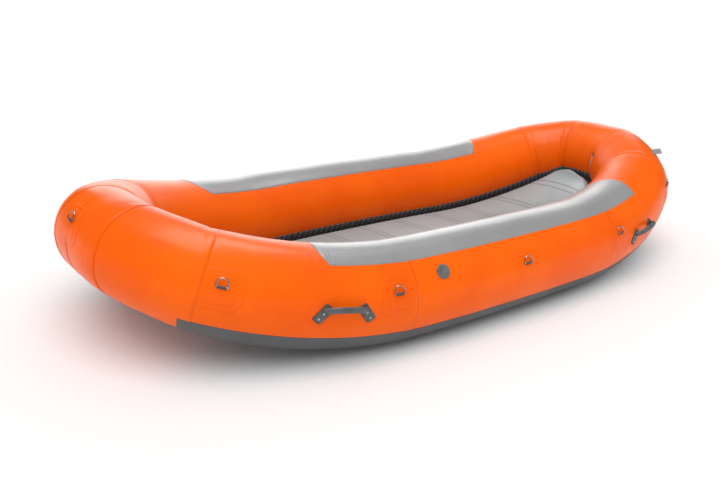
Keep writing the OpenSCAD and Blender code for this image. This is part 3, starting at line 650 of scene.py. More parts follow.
# %% Inner tapes and baffles
TAPE_WIDTH = 0.04
inner_fabric = coated_fabric("inner_fabric", (0.7, 0.11, 0.02), (0.62, 0.09, 0.015), rough=0.5,
                             coat=0.0)
for number, (place, _) in enumerate(ends_seams()):
    arcs = np.linspace(place - TAPE_WIDTH / 2, place + TAPE_WIDTH / 2, 5)
    s, angle = np.meshgrid(arcs, round_angles, indexing="ij")
    uv_s, uv_angle = np.meshgrid(arcs, np.append(round_angles, 270.0), indexing="ij")
    tape = closed_sheet(f"seam_tape_{number + 1}", on_tube(s, angle, -2.2 * FABRIC),
                        on_tube(s, angle, -3.2 * FABRIC), skin_uv(uv_s, uv_angle), wrap=True)
    dress(tidy(tape, "hull", "inner_fabric"), inner_fabric)
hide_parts("seam_tapes")
dress(frame["nodes"]["tube_baffles"], inner_fabric)

# %% [markdown]
# ## Wear layers
# Grey sheets are glued where the raft is dragged and where people sit. The top ones
# end in a blunt point at both ends, and the bottom ones are cut square. Each row of
# points round the tube gets its own start and end, which is all a shaped end needs.

# %% Top and bottom wear layers
WEAR = 0.002
TOP_LOW, TOP_HIGH = 54.0, 127.0
BOTTOM_IN, BOTTOM_OUT = 230.0, 331.5
TOP_CROWN, TOP_HALF = 88.0, 37.0
WEAR_EDGE = 0.003


def end_shape(angle, reach, low_back, high_back):
    """Where a top layer stops: furthest along at the crown, back at both edges."""
    away = (angle - TOP_CROWN) / TOP_HALF
    return reach + np.where(away < 0, low_back, high_back) * away ** 2


def wear_layer(name, angles, start, end, material, slot, node):
    share = np.unique(np.concatenate([np.linspace(0, 1, 190), np.linspace(0, 0.03, 8),
                                      np.linspace(0.97, 1, 8)]))
    u, angle = np.meshgrid(share, angles, indexing="ij")
    s = start(angle) + u * (end(angle) - start(angle))
    edge = np.minimum(u, 1 - u) * (end(angle) - start(angle))
    side = np.minimum(angle - angles[0], angles[-1] - angle) * math.pi / 180 * SIDE_RADIUS
    ends = np.clip(edge / WEAR_EDGE, 0, 1) * np.clip(side / WEAR_EDGE, 0, 1)
    lift = 0.0007 + (WEAR - 0.0004) * ends
    gathered = np.exp(-(edge / 0.13) ** 2) * 0.9
    made = closed_sheet(name, on_tube(s, angle, lift), on_tube(s, angle, 0.0001),
                        skin_uv(s, angle), fields={"creased": gathered})
    return dress(tidy(made, "hull", slot, node), material)


def edged(low, high, step):
    """Angles with two close rows at each edge, so that the edge stays crisp."""
    return np.unique(np.concatenate([np.arange(low, high, step), [high],
                                     [low + 0.35, low + 0.7, high - 0.7, high - 0.35]]))


top_angles, bottom_angles = edged(TOP_LOW, TOP_HIGH, 2.5), edged(BOTTOM_IN, BOTTOM_OUT, 2.5)


def bow_end(angle): return end_shape(angle, 1.068, 0.055, 0.085)
def stern_end(angle): return end_shape(angle, 1.045, 0.055, 0.07)
def square_end(angle): return np.full(np.shape(angle), 0.535)


wear_layer("top_layer_port", top_angles, bow_end, lambda a: STERN - stern_end(a),
           light_wear, "top_wear", "top_wear_port")
wear_layer("top_layer_starboard", top_angles, lambda a: STERN + stern_end(a),
           lambda a: LOOP - bow_end(a), light_wear, "top_wear", "top_wear_starboard")
wear_layer("bottom_layer_port", bottom_angles, square_end, lambda a: STERN - square_end(a),
           dark_wear, "bottom_wear", "bottom_wear_port")
wear_layer("bottom_layer_starboard", bottom_angles, lambda a: STERN + square_end(a),
           lambda a: LOOP - square_end(a), dark_wear, "bottom_wear", "bottom_wear_starboard")
print("wear layers 4, top ones", TOP_LOW, "to", TOP_HIGH, "degrees round")

# %% [markdown]
# ## Glued patches
# A D-ring pulls hard on one spot, so two patches spread its load: a wide one on the
# tube and a smaller one over it. Their corners are rounded, because a square corner
# would peel. An outline is drawn flat, scaled in rings from its middle, and laid on
# the tube, and the last ring drops to the skin to make the glued edge.

# %% Patches of any outline
def rounded(corners, radius, steps=5, length=0.012):
    """An outline with rounded corners, and points a short length apart."""
    corners, outline = np.array(corners, float), []
    for k, corner in enumerate(corners):
        before = corners[k - 1] - corner
        after = corners[(k + 1) % len(corners)] - corner
        start = corner + before / np.linalg.norm(before) * radius
        end = corner + after / np.linalg.norm(after) * radius
        for step in np.linspace(0, 1, steps):
            outline.append((1 - step) ** 2 * start + 2 * step * (1 - step) * corner
                           + step ** 2 * end)
        following = corners[(k + 1) % len(corners)]
        next_start = following + (corner - following) / np.linalg.norm(after) * radius
        gap = np.linalg.norm(next_start - end)
        for step in np.arange(1, int(gap / length)) / max(1, int(gap / length)):
            outline.append(end + (next_start - end) * step)
    return np.array(outline)


RING_SHARES = np.array([0.0, 0.12, 0.25, 0.38, 0.5, 0.62, 0.74, 0.85, 0.93, 0.975, 1.0])


def patch(s0, angle0, outline, low, thick, edge=0.0022, turned=0.0):
    """Points, faces and skin coordinates of a patch with its middle at a place."""
    middle = outline.mean(0)
    reach = np.linalg.norm(outline - middle, axis=1).min()
    shares = np.append(RING_SHARES[:-2], [1 - edge / reach, 1.0])
    flat = middle + shares[:, None, None] * (outline - middle)
    if turned:
        c, d = math.cos(turned), math.sin(turned)
        flat = flat @ np.array([[c, d], [-d, c]])
    s = s0 + flat[..., 0]
    angle = angle0 + np.degrees(flat[..., 1] / tube_radius(round_point(s0)[..., 0]))
    lift = np.full(s.shape, low + thick)
    lift[-1] = low + 0.25 * thick
    top, bottom = on_tube(s, angle, lift), on_tube(s, angle, np.full(s.shape, low))
    rings, around = s.shape
    quads = grid_faces(rings, around, True)[0][:, ::-1]
    under = quads[:, ::-1] + rings * around
    last = (rings - 1) * around
    j = np.arange(around)
    k = (j + 1) % around
    rim = np.stack([last + j, last + k, last + k + rings * around,
                    last + j + rings * around], -1)[:, ::-1]
    faces = np.concatenate([quads, under, rim])
    points = np.concatenate([top.reshape(-1, 3), bottom.reshape(-1, 3)])
    uv = skin_uv(s, angle).reshape(-1, 2)
    uv = np.concatenate([uv, uv])
    return points, faces, uv[faces]


def joined(name, parts):
    """Several sets of points, faces and corner coordinates as one piece."""
    points, faces, corners = [], [], []
    for part_points, part_faces, part_uv in parts:
        faces += [[v + len(points) for v in face] for face in part_faces]
        points += list(part_points)
        corners += list(np.reshape(part_uv, (-1, 2)))
    return new_piece(name, points, faces, corners)


print("a patch has", len(RING_SHARES), "rings of points")

# %% [markdown]
# ## Two patches under every ring
# The wide patch is a rectangle with its corners cut off, and the cover over it
# narrows towards the ring. Both are placed from the joint that the ring swings on.

# %% Ring patches
ring_names = ["ring_bow", "ring_stern"] + [f"ring_{side}_{k}" for side in ("port", "starboard")
                                           for k in range(1, 6)]
ring_places = {name: where_on_tube(joint_places[name + "_swing"]) for name in ring_names}
base_outline = rounded([(-0.062, 0.08), (-0.09, 0.05), (-0.09, -0.085), (-0.062, -0.115),
                        (0.062, -0.115), (0.09, -0.085), (0.09, 0.05), (0.062, 0.08)][::-1], 0.016)
cover_outline = rounded([(-0.038, 0.054), (-0.062, -0.086), (0.062, -0.086),
                         (0.038, 0.054)], 0.015)
PATCH_LIFT, PATCH = 0.0002, 0.0013
ring_patch = joined("ring_patches_glued", [
    patch(s, a, shape, low, PATCH)
    for s, a in ring_places.values()
    for shape, low in ((base_outline, PATCH_LIFT), (cover_outline, PATCH_LIFT + PATCH))])
dress(tidy(ring_patch, "hull", "tube_fabric", "ring_patches"), orange_patch)
print("rings at", {n: (round(s, 2), round(a)) for n, (s, a) in ring_places.items()})

# %% [markdown]
# ## D-rings and their keepers
# The rings are bent steel wire, and swing on their straight bars. They come from the
# packed model, since round steel is round steel, and only need a polished finish.
# Webbing is woven from cords, which show as fine ribs, and a sine wave across the
# strip makes them.

# %% Steel and webbing
def steel(name, colour, rough):
    finish = Finish(name)
    place = finish.place()
    fine = finish.noise(finish.stretch(place, (300.0, 300.0, 90.0)), 1.0, 2.0)
    smudge = finish.noise(place, 35.0, 2.0)
    tint = finish.between(smudge, 0.3, 0.8) * 0.6
    return finish.surface({
        "Base Color": finish.mixed(tint, (*colour, 1.0), (*(0.8 * c for c in colour), 1.0)),
        "Metallic": 1.0, "Roughness": rough + (smudge - 0.5) * 0.16 + (fine - 0.5) * 0.08,
        "Normal": finish.bump(fine, 0.00002)})


def webbing(name, colour, lighter, rib=0.0032, depth=0.0004, rough=0.72, across=1, block=0.0):
    finish = Finish(name)
    skin, place = finish.skin(), finish.place()
    cords = (finish.part(skin, across) * (2 * math.pi / rib)).sine()
    picks = (finish.part(skin, 1 - across) * (2 * math.pi / (rib * 0.6))).sine()
    worn = finish.noise(place, 70.0, 3.0)
    raised = cords * 0.5 + 0.5
    tint = raised * 0.55 + worn * 0.6 - 0.1
    if block:
        tint = tint + (finish.part(skin, 0) * (2 * math.pi / block)).sine() * (0.2 + worn * 0.5)
    tint = tint.clamped()
    return finish.surface({
        "Base Color": finish.mixed(tint, (*colour, 1.0), (*lighter, 1.0)),
        "Roughness": rough + (worn - 0.5) * 0.2,
        "Normal": finish.bump(raised * depth + picks * depth * 0.3, 1.0)})


ring_steel = steel("ring_steel", (0.52, 0.55, 0.57), 0.26)
dark_webbing = webbing("dark_webbing", (0.055, 0.058, 0.06), (0.13, 0.135, 0.14))
for name in ring_names:
    dress(frame["nodes"][name], ring_steel)
print("rings dressed", len(ring_names), "in", ring_steel.name)

# %% [markdown]
# ## Folding the keepers
# Each bar lies in a strip of dark webbing, folded round it and glued down. The strip
# is one outline swept along the bar. It stands square to the tube's flat facet, one
# of twenty-four round the tube, because the packed patches under it are flat too.

# %% Keepers
KEEPER_WIDTH, BAR_RADIUS, STRAP = 0.042, 0.003, 0.0016
FACET = 15


def keeper_outline():
    """The folded strip seen from its end: up the tube and out from it, from the bar."""
    turn = np.radians(np.linspace(-75, 255, 23))
    outer = (BAR_RADIUS + 0.0002 + STRAP) * np.stack([np.cos(turn), np.sin(turn)], -1)
    tail = np.array([[-0.0065, -0.0048], [-0.0095, -0.0058], [-0.0105, -0.0064]])
    under = np.array([[-0.0105, -0.0071], [-0.007, -0.0071], [-0.003, -0.0068]])
    return np.concatenate([outer, tail, under])


def swept_outline(outline, middle, along, up, out, width, steps=2):
    """A flat outline (up, out) swept along a straight line and closed at its ends."""
    spots = np.linspace(-width / 2, width / 2, steps)
    rings = (middle + spots[:, None, None] * along + outline[None, :, :1] * up
             + outline[None, :, 1:] * out)
    count = len(outline)
    faces, _ = grid_faces(steps, count, True)
    length = np.concatenate([[0], np.cumsum(np.linalg.norm(np.diff(outline, axis=0), axis=1))])
    uv = np.stack(np.broadcast_arrays(spots[:, None], length[None, :]), -1).reshape(-1, 2)
    ends = [list(range(count))[::-1], [(steps - 1) * count + k for k in range(count)]]
    corners = list(uv[faces].reshape(-1, 2)) + [(0.0, 0.001 * k) for k in range(count)] * 2
    return rings.reshape(-1, 3), faces.tolist() + ends, corners


keeper_parts = []
for name, (s, angle) in ring_places.items():
    out, up, along, _ = tube_axes(s)
    facet = math.radians(FACET * round(angle / FACET))
    outward = math.cos(facet) * out + math.sin(facet) * up
    keeper_parts.append(swept_outline(
        keeper_outline(), np.array(joint_places[name + "_swing"]), along,
        np.cross(outward, along), outward, KEEPER_WIDTH))
keepers = joined("ring_keepers_folded", keeper_parts)
dress(tidy(keepers, "hull", "webbing", "ring_keepers"), dark_webbing)
print("keepers", len(ring_names), "of", KEEPER_WIDTH * 1000, "mm webbing")

# %% [markdown]
# ## Carry handles
# Each handle is one moulding of dark rubber: two leaning plates riveted to the tube
# over an oval patch, and a grip that springs from their tops and thins where it
# joins them. The grip is an oval swept along a curve, and the plates are thick
# patches with soft edges.

# %% Rubber, and the handle's sizes
rubber = Finish("handle_rubber")
rubber_grain = rubber.noise(rubber.place(), 420.0, 3.0)
rubber_wear = rubber.noise(rubber.place(), 16.0, 3.0)
handle_rubber = rubber.surface({
    "Base Color": rubber.mixed(rubber.between(rubber_wear, 0.35, 0.75), (0.075, 0.078, 0.08, 1),
                               (0.12, 0.122, 0.125, 1)),
    "Roughness": 0.5 + (rubber_wear - 0.5) * 0.25,
    "Normal": rubber.bump(rubber_grain, 0.0001)})

HANDLE_ANGLE, HANDLE_HALF, HANDLE_LEAN = 2.4, 0.104, math.radians(37)
PLATE_LONG, PLATE_WIDE, PLATE_THICK, PLATE_LIFT = 0.098, 0.050, 0.0052, 0.0022
GRIP_WIDE, GRIP_THICK = 0.0155, 0.0135
GRIP_SHARES = np.array([-0.93, -0.84, -0.7, -0.45, 0.0, 0.45, 0.7, 0.84, 0.93])
GRIP_RISES = np.array([0.007, 0.020, 0.036, 0.044, 0.047, 0.044, 0.036, 0.020, 0.007])
GRIP_LIFTS = np.array([0.014, 0.021, 0.029, 0.034, 0.036, 0.034, 0.029, 0.021, 0.014])
GRIP_ROWS = 49
RIVET_SPOTS = (0.003, -0.029)
plate_outline = rounded([(-PLATE_WIDE / 2, -PLATE_LONG / 2), (PLATE_WIDE / 2, -PLATE_LONG / 2),
                         (PLATE_WIDE / 2, PLATE_LONG / 2), (-PLATE_WIDE / 2, PLATE_LONG / 2)][::-1],
                        0.014, length=0.01)[::-1]
OVAL_LONG, OVAL_TALL = 0.182, 0.094
oval_turn = np.linspace(0, 2 * math.pi, 72, endpoint=False)
oval = np.stack([OVAL_LONG * np.cos(oval_turn), OVAL_TALL * np.sin(oval_turn)], -1)
print("handle plates", PLATE_LONG * 1000, "by", PLATE_WIDE * 1000, "mm")

# %% [markdown]
# ## Sweeping an oval
# A grip or a rope is an oval carried along a path. The path comes from a few marks and
# a spline through them, and the oval's size may change on the way. A closed path needs
# no ends, and an open one gets a fan of triangles at each.

# %% Soft curves and sweeps
def smooth_curve(points, count):
    """A soft curve through a few points."""
    points = np.array(points, float)
    ends = np.concatenate([2 * points[:1] - points[1:2], points, 2 * points[-1:] - points[-2:-1]])
    place = np.linspace(0, len(points) - 1 - 1e-9, count)
    k = place.astype(int)
    u = (place - k)[:, None]
    a, b, c, d = ends[k], ends[k + 1], ends[k + 2], ends[k + 3]
    return 0.5 * (2 * b + (c - a) * u + (2 * a - 5 * b + 4 * c - d) * u ** 2
                  + (3 * b - a - 3 * c + d) * u ** 3)


def swept(path, sizes, out, sides=16, closed=False):
    """An oval of changing size swept along a path, with a fan of triangles at each end."""
    if closed:
        step = np.roll(path, -1, axis=0) - np.roll(path, 1, axis=0)
    else:
        step = np.gradient(path, axis=0)
    step /= np.linalg.norm(step, axis=1, keepdims=True)
    side = np.cross(step, out)
    side /= np.linalg.norm(side, axis=1, keepdims=True)
    top = np.cross(side, step)
    turn = np.linspace(0, 2 * math.pi, sides, endpoint=False)
    sizes = np.broadcast_to(sizes, (len(path), 2))
    rings = (path[:, None] + sizes[:, :1, None] * np.cos(turn)[None, :, None] * side[:, None]
             + sizes[:, 1:, None] * np.sin(turn)[None, :, None] * top[:, None])
    count = len(path)
    faces, _ = grid_faces(count + (1 if closed else 0), sides, True)
    faces = faces % (count * sides)
    far = np.concatenate([[0], np.cumsum(np.linalg.norm(np.diff(path, axis=0), axis=1))])
    uv = np.stack(np.broadcast_arrays(far[:, None], (turn * 0.01)[None, :]), -1).reshape(-1, 2)
    points, corners = rings.reshape(-1, 3).tolist(), uv[faces].reshape(-1, 2).tolist()
    faces = faces.tolist()
    caps = [] if closed else [list(range(sides))[::-1],
                              [(count - 1) * sides + k for k in range(sides)]]
    for ring in caps:
        middle = len(points)
        points.append(np.mean([points[k] for k in ring], axis=0).tolist())
        faces += [[a, b, middle] for a, b in zip(ring, ring[1:] + ring[:1])]
        corners += [[0.0, 0.0]] * 3 * sides
    return points, faces, corners


print("handles span", 2 * HANDLE_HALF, "m between plates")

# %% [markdown]
# ## Moulding the handles
# The grip's path is a soft curve through nine marks: low beside the rivets, and
# furthest out in the middle, where a gloved hand goes through. The rivets' places are
# kept for the next step.

# %% Handles and their oval patches
handle_nodes = ["handle_fore_port", "handle_aft_port", "handle_fore_starboard",
                "handle_aft_starboard"]
rivet_spots, handle_middles = [], []
for name in handle_nodes:
    low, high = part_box(name)
    s0 = where_on_tube(list((low + high) / 2))[0]
    handle_middles.append(s0)
    plates = [patch(s0 + side * HANDLE_HALF, HANDLE_ANGLE, plate_outline, PLATE_LIFT, PLATE_THICK,
                    edge=0.0026, turned=side * HANDLE_LEAN) for side in (-1, 1)]
    out = tube_axes(s0)[0]
    marks = (on_tube(s0 + GRIP_SHARES * HANDLE_HALF, HANDLE_ANGLE, GRIP_RISES)
             + GRIP_LIFTS[:, None] * [0, 0, 1])
    path = smooth_curve(marks, GRIP_ROWS)
    thin = np.abs(np.linspace(-1, 1, GRIP_ROWS)) ** 4
    sizes = np.stack([GRIP_WIDE + 0.003 * thin, GRIP_THICK - 0.004 * thin], -1)
    grip = swept(path, sizes, np.broadcast_to(out, path.shape))
    made = joined(name + "_moulding", [grip, *plates])
    dress(tidy(made, "hull", "handle_rubber", name), handle_rubber)
    for side in (-1, 1):
        lean = side * HANDLE_LEAN
        for spot in RIVET_SPOTS:
            rivet_spots.append((s0 + side * HANDLE_HALF - spot * math.sin(lean),
                                spot * math.cos(lean)))
handle_patch = joined("handle_patches_glued", [
    patch(s0, HANDLE_ANGLE, oval[::-1], PATCH_LIFT, PATCH) for s0 in handle_middles])
dress(tidy(handle_patch, "hull", "tube_fabric", "handle_patches"), orange_patch)
print("handles", len(handle_nodes), "rivets", len(rivet_spots))

# %% [markdown]
# ## Rivets
# The rivets are hollow ones with a rolled head, so each shows as a bright ring round
# a dark hole. A short profile turned about the rivet's own axis gives that.

# %% Turned rivets
def lathed(profile, middle, axis, sides=24):
    """A closed profile (radius, height) turned about an axis."""
    axis = np.array(axis, float) / np.linalg.norm(axis)
    first = np.cross(axis, [0.3, 0.5, 0.8])
    first /= np.linalg.norm(first)
    second = np.cross(axis, first)
    turn = np.linspace(0, 2 * math.pi, sides, endpoint=False)[:, None, None]
    profile = np.array(profile, float)
    rings = (middle + profile[None, :, :1] * (np.cos(turn) * first + np.sin(turn) * second)
             + profile[None, :, 1:] * axis)
    count = len(profile)
    i, j = np.meshgrid(np.arange(sides), np.arange(count), indexing="ij")
    ni, nj = (i + 1) % sides, (j + 1) % count
    faces = np.stack([i * count + j, ni * count + j, ni * count + nj, i * count + nj], -1)
    faces = faces.reshape(-1, 4)
    return rings.reshape(-1, 3), faces, np.zeros((len(faces), 4, 2))


rivet_metal = steel("rivet_metal", (0.66, 0.67, 0.68), 0.3)
roll = np.linspace(0, 2 * math.pi, 12, endpoint=False)
RIVET_RING, ROLL_WIDE, ROLL_TALL, RIVET_HOLE = 0.0043, 0.0016, 0.0014, 0.0036
rivet_profile = [(RIVET_RING + ROLL_WIDE * math.cos(t), ROLL_TALL * math.sin(t)) for t in roll]
rivet_floor = [(0.0001, -0.001), (RIVET_HOLE, -0.001), (RIVET_HOLE, 0.0), (0.0001, 0.0)]
rivets = []
for s, offset in rivet_spots:
    angle = HANDLE_ANGLE + math.degrees(offset / SIDE_RADIUS)
    seat = on_tube(s, angle, PLATE_LIFT + PLATE_THICK + 0.0005)
    out, up, _, _ = tube_axes(s)
    axis = math.cos(math.radians(angle)) * out + math.sin(math.radians(angle)) * up
    rivets.append(lathed(rivet_profile, seat, axis))
    rivets.append(lathed(rivet_floor, seat - 0.0002 * axis, axis))
rivet_heads = joined("handle_rivet_heads", rivets)
dress(tidy(rivet_heads, "hull", "rivet", "handle_rivets"), rivet_metal)
print("rivet heads", len(rivet_spots))

# %% [markdown]
# ## Valves
# A moulded housing is clamped through the fabric, and its cap closes it with a
# quarter turn. These are hard plastic, so the packed pieces stay as they are, with a
# fine moulded grain and a faint haze. The springs and poppets inside get finishes
# too, though a closed cap hides them.

# %% Moulded plastic for the valves
plastic = Finish("valve_plastic")
plastic_place = plastic.place()
plastic_grain = plastic.noise(plastic_place, 600.0, 2.0)
plastic_haze = plastic.noise(plastic_place, 28.0, 3.0)
valve_plastic = plastic.surface({
    "Base Color": plastic.mixed(plastic.between(plastic_haze, 0.35, 0.7),
                                (0.115, 0.118, 0.12, 1), (0.16, 0.163, 0.165, 1)),
    "Roughness": 0.42 + (plastic_haze - 0.5) * 0.3,
    "Normal": plastic.bump(plastic_grain, 0.00006)})
for side in ("port", "starboard", "floor"):
    for part in ("body", "cap", "poppet"):
        dress(frame["nodes"][f"valve_{side}_{part}"], valve_plastic)
    dress(frame["nodes"][f"valve_{side}_spring"], ring_steel)
print("valves dressed, in", valve_plastic.name)

# %% [markdown]
# ## The floor
# The floor is a flat bag of air, held flat by fabric ribs across its inside, and
# each rib leaves a faint pair of lines on its top. Its edge is a half round. Every
# cross-section is one closed outline that runs over the top, round one edge, back
# underneath and round the other, and the outlines follow the ring's plan.

# %% The floor's outline
FLOOR_ANGLE, FLOOR_GAP, FLOOR_THICK, FLOOR_CROWN = 205.0, 0.028, 0.110, 0.024
EDGE_RADIUS = FLOOR_THICK / 2
RIB_PITCH, RIB_COUNT = 0.3, 4
RIB_LINE_OFF, RIB_LINE_WIDE, RIB_LINE_DEEP = 0.022, 0.006, 0.0022
LEAST_HALF = 0.0005


def floor_edge(s):
    """The floor's outer edge, and the outward direction there."""
    out, up, _, radius = tube_axes(s)
    turn = math.radians(FLOOR_ANGLE)
    reach = (radius + FLOOR_GAP)[..., None]
    return round_point(s) + reach * (math.cos(turn) * out + math.sin(turn) * up), out


def crown(share):
    return FLOOR_CROWN * (1 - np.abs(share) ** 2.4)


def rib_lines(x):
    """Shallow double grooves over the ribs."""
    groove = np.zeros(np.shape(x))
    for k in range(-RIB_COUNT, RIB_COUNT + 1):
        for off in (-RIB_LINE_OFF, RIB_LINE_OFF):
            groove = groove + np.exp(-((x - k * RIB_PITCH - off) / RIB_LINE_WIDE) ** 2)
    return groove


top_shares = np.sin(np.linspace(-1, 1, 41) * math.pi / 2)
round_turn = np.linspace(90, -90, 13)[1:-1]


def floor_outline(s):
    port, out = floor_edge(s)
    half = port - EDGE_RADIUS * out
    half[1] = max(half[1], LEAST_HALF)
    groove = -RIB_LINE_DEEP * rib_lines(half[0])
    shares = top_shares[:, None]
    top = np.concatenate([np.full_like(shares, half[0]), shares * half[1],
                          half[2] + crown(shares) + groove * (1 - np.abs(shares) ** 8)], 1)
    turn = np.radians(round_turn)[:, None]
    height = half[2] - EDGE_RADIUS + EDGE_RADIUS * np.sin(turn)
    reach = EDGE_RADIUS * np.cos(turn)
    port_side = np.concatenate([half[0] + reach * out[0], half[1] + reach * out[1], height], 1)
    under = np.concatenate([np.full_like(shares, half[0]), -shares * half[1],
                            np.full_like(shares, half[2] - FLOOR_THICK)], 1)
    other_side = port_side[::-1] * [1, -1, 1]
    return np.concatenate([top, port_side, under, other_side])


print("floor", FLOOR_THICK * 1000, "mm thick, crown", FLOOR_CROWN * 1000, "mm")

# %% [markdown]
# ## Rows along the floor
# A narrow groove needs close rows, and the plain stretches between don't, so the rows
# bunch up over the rib lines and at the two tight ends.

# %% Sweep the floor
def floor_samples():
    """Rows along the floor, closer together over the rib lines."""
    fine = np.linspace(0.004, STERN - 0.004, 1400)
    x = round_point(fine)[:, 0]
    keep, last = [], 9.0
    for s, place in zip(fine, x):
        off = np.min(np.abs(np.abs(place - RIB_PITCH * np.round(place / RIB_PITCH)) - RIB_LINE_OFF))
        if last - place > (0.003 if off < 0.014 else 0.02) or abs(place) > 1.6:
            keep.append(s)
            last = place
    return np.array(keep)


floor_rows = floor_samples()
floor_rings = np.array([floor_outline(s) for s in floor_rows])
floor_faces, _ = grid_faces(len(floor_rows), floor_rings.shape[1], True)
floor_points = floor_rings.reshape(-1, 3)
around = floor_rings.shape[1]
end_faces = [list(range(around))[::-1], [(len(floor_rows) - 1) * around + k for k in range(around)]]
floor_uv = floor_points[:, :2][floor_faces].reshape(-1, 2).tolist()
for ring in end_faces:
    floor_uv += floor_points[ring, :2].tolist()
floor_body = new_piece("floor_chamber", floor_points, floor_faces.tolist() + end_faces, floor_uv)
print("floor rows", len(floor_rows), "points", len(floor_points))

# %% [markdown]
# ## The floor's cloth
# The floor is the same coated cloth in grey. The line pairs over the ribs are darker as well as
# lower.

# %% Grey floor cloth
floor_finish = Finish("floor_fabric")
floor_place = floor_finish.place()
floor_x = floor_finish.part(floor_place, 0)
floor_cloud = floor_finish.noise(floor_place, 3.0, 3.0)
floor_grain = floor_finish.noise(floor_place, 320.0, 2.0)
rib_wave = floor_x * (1 / RIB_PITCH)
from_rib = (rib_wave - floor_finish.node("ShaderNodeMath", {"operation": "ROUND"},
                                         {0: rib_wave})).size() * RIB_PITCH
rib_line = 1 - floor_finish.between((from_rib - RIB_LINE_OFF).size(), 0.0015, RIB_LINE_WIDE)
soft_lines = floor_finish.noise(floor_finish.stretch(floor_place, (9.0, 2.0, 2.0)), 1.0, 2.0)
floor_material = floor_finish.surface({
    "Base Color": floor_finish.mixed(
        (rib_line * 0.95 + floor_finish.between(floor_cloud, 0.4, 0.75) * 0.3).clamped(),
        (0.345, 0.395, 0.405, 1), (0.17, 0.195, 0.2, 1)),
    "Roughness": 0.46 + (floor_cloud - 0.5) * 0.2,
    "Normal": floor_finish.bump(floor_grain * 0.00006 + soft_lines * 0.0015, 1.0),
    "Coat Weight": 0.05})
dress(tidy(floor_body, "hull", "floor_fabric", "floor_top", "floor_bottom", "floor_sidewall"),
      floor_material)
dress(frame["nodes"]["floor_ribs"], floor_material)
print("floor dressed; line pairs", 2 * RIB_COUNT + 1)

# %% [markdown]
# ## The laced edge of the floor
# The floor isn't welded to the tubes. A hem runs round its edge with an eyelet every
# hand's width, a band is glued round the tubes, and one dark lace ties the two. Water
# drains through the gap between them. The band and the hem are closed loops.

# %% Band and hem
EYELETS_PER_PANEL = (2, 3, 7, 5)
BAND_LOW, BAND_HIGH, BAND = 202.0, 226.0, 0.002
HEM_DROP, HEM_WIDE, HEM_THICK = 0.062, 0.058, 0.003
EYELET_THICK, LACE_RADIUS, GAP, EYELET_GAP = 0.0015, 0.003, 0.0003, 0.0006

band_webbing = webbing("band_webbing", (0.05, 0.056, 0.058), (0.19, 0.2, 0.2), rib=0.006,
                       depth=0.0006, block=0.045)
hem_webbing = webbing("hem_webbing", (0.028, 0.033, 0.034), (0.07, 0.078, 0.08), rib=0.004,
                      depth=0.0005, rough=0.8)
loop_arcs = np.linspace(0, LOOP, 545)[:-1]
band_angles = np.array([BAND_HIGH, BAND_HIGH - 0.4, 222.0, 218.0, 214.0, 210.0, 206.0,
                        BAND_LOW + 0.4, BAND_LOW])
angle, s = np.meshgrid(band_angles, loop_arcs, indexing="ij")
uv_angle, uv_s = np.meshgrid(band_angles, np.append(loop_arcs, LOOP), indexing="ij")
rounded_edge = np.where((angle == BAND_HIGH) | (angle == BAND_LOW), 0.0008, BAND)
band = closed_sheet("lacing_band", on_tube(s, angle, rounded_edge + GAP),
                    on_tube(s, angle, GAP), skin_uv(uv_s, uv_angle), wrap=True)
dress(tidy(band, "hull", "webbing", "floor_flange"), band_webbing)


def hem_grid(outward, drop):
    """Points on the hem, some way out from the floor's edge and below it."""
    edge, out = floor_edge(loop_arcs)
    return np.stack([edge + o * out - [0, 0, d] for o, d in zip(outward, drop)])


hem_out = np.array([HEM_WIDE, HEM_WIDE - 0.001, HEM_WIDE - 0.006, HEM_WIDE - 0.008, 0.03,
                    0.015, GAP])
hem_top = HEM_DROP + np.array([0.0012, -0.0004, -0.0004, 0.0004, 0.0004, 0.0004, 0.0])
uv_out, uv_s = np.meshgrid(hem_out, np.append(loop_arcs, LOOP), indexing="ij")
hem = closed_sheet("lacing_hem", hem_grid(hem_out, hem_top),
                   hem_grid(hem_out, np.full(len(hem_out), HEM_DROP + HEM_THICK)),
                   np.stack([uv_s, uv_out], -1), wrap=True)
dress(tidy(hem, "hull", "webbing", "floor_hem"), hem_webbing)

print("band and hem go round in", len(loop_arcs), "steps")

# %% [markdown]
# ## Eyelets and lace
# The eyelets are the packed ones, in pale plastic. The lace is a twisted rope pulled
# tight, so it runs straight from point to point: over an eyelet, up to the band, and
# down to the next. Where the hem slopes, the lace stands a little higher over it.

# %% Eyelets and lace
eyelet_finish = Finish("eyelet_plastic")
eyelet_tone = eyelet_finish.noise(eyelet_finish.place(), 60.0, 2.0)
eyelet_material = eyelet_finish.surface({
    "Base Color": eyelet_finish.mixed(eyelet_tone, (0.82, 0.82, 0.8, 1), (0.7, 0.7, 0.68, 1)),
    "Roughness": 0.3 + eyelet_tone * 0.1})
dress(frame["nodes"]["floor_eyelets"], eyelet_material)

spans = zip((0, SEAM_1, SEAM_2, SEAM_3), (SEAM_1, SEAM_2, SEAM_3, QUARTER), EYELETS_PER_PANEL)
quarter_arcs = np.concatenate([np.linspace(a, b, n, endpoint=False) for a, b, n in spans])
lace_arcs = np.concatenate([quarter_arcs, STERN - quarter_arcs, STERN + quarter_arcs,
                            LOOP - quarter_arcs[1:], [QUARTER, 3 * QUARTER]])
lace_arcs = np.unique(np.round(lace_arcs, 6))
between_arcs = (lace_arcs + np.append(lace_arcs[1:], LOOP)) / 2
lace_edge, lace_out = floor_edge(lace_arcs)
rise = np.roll(lace_edge, -1, axis=0) - lace_edge
slope = np.abs(rise[:, 2]) / np.hypot(rise[:, 0], rise[:, 1])
steeper = np.hypot(1, np.maximum(slope, np.roll(slope, 1)))
lace_up = (4 * EYELET_GAP + EYELET_THICK + LACE_RADIUS) * steeper
low_points = lace_edge + (HEM_WIDE / 2 - 0.004) * lace_out
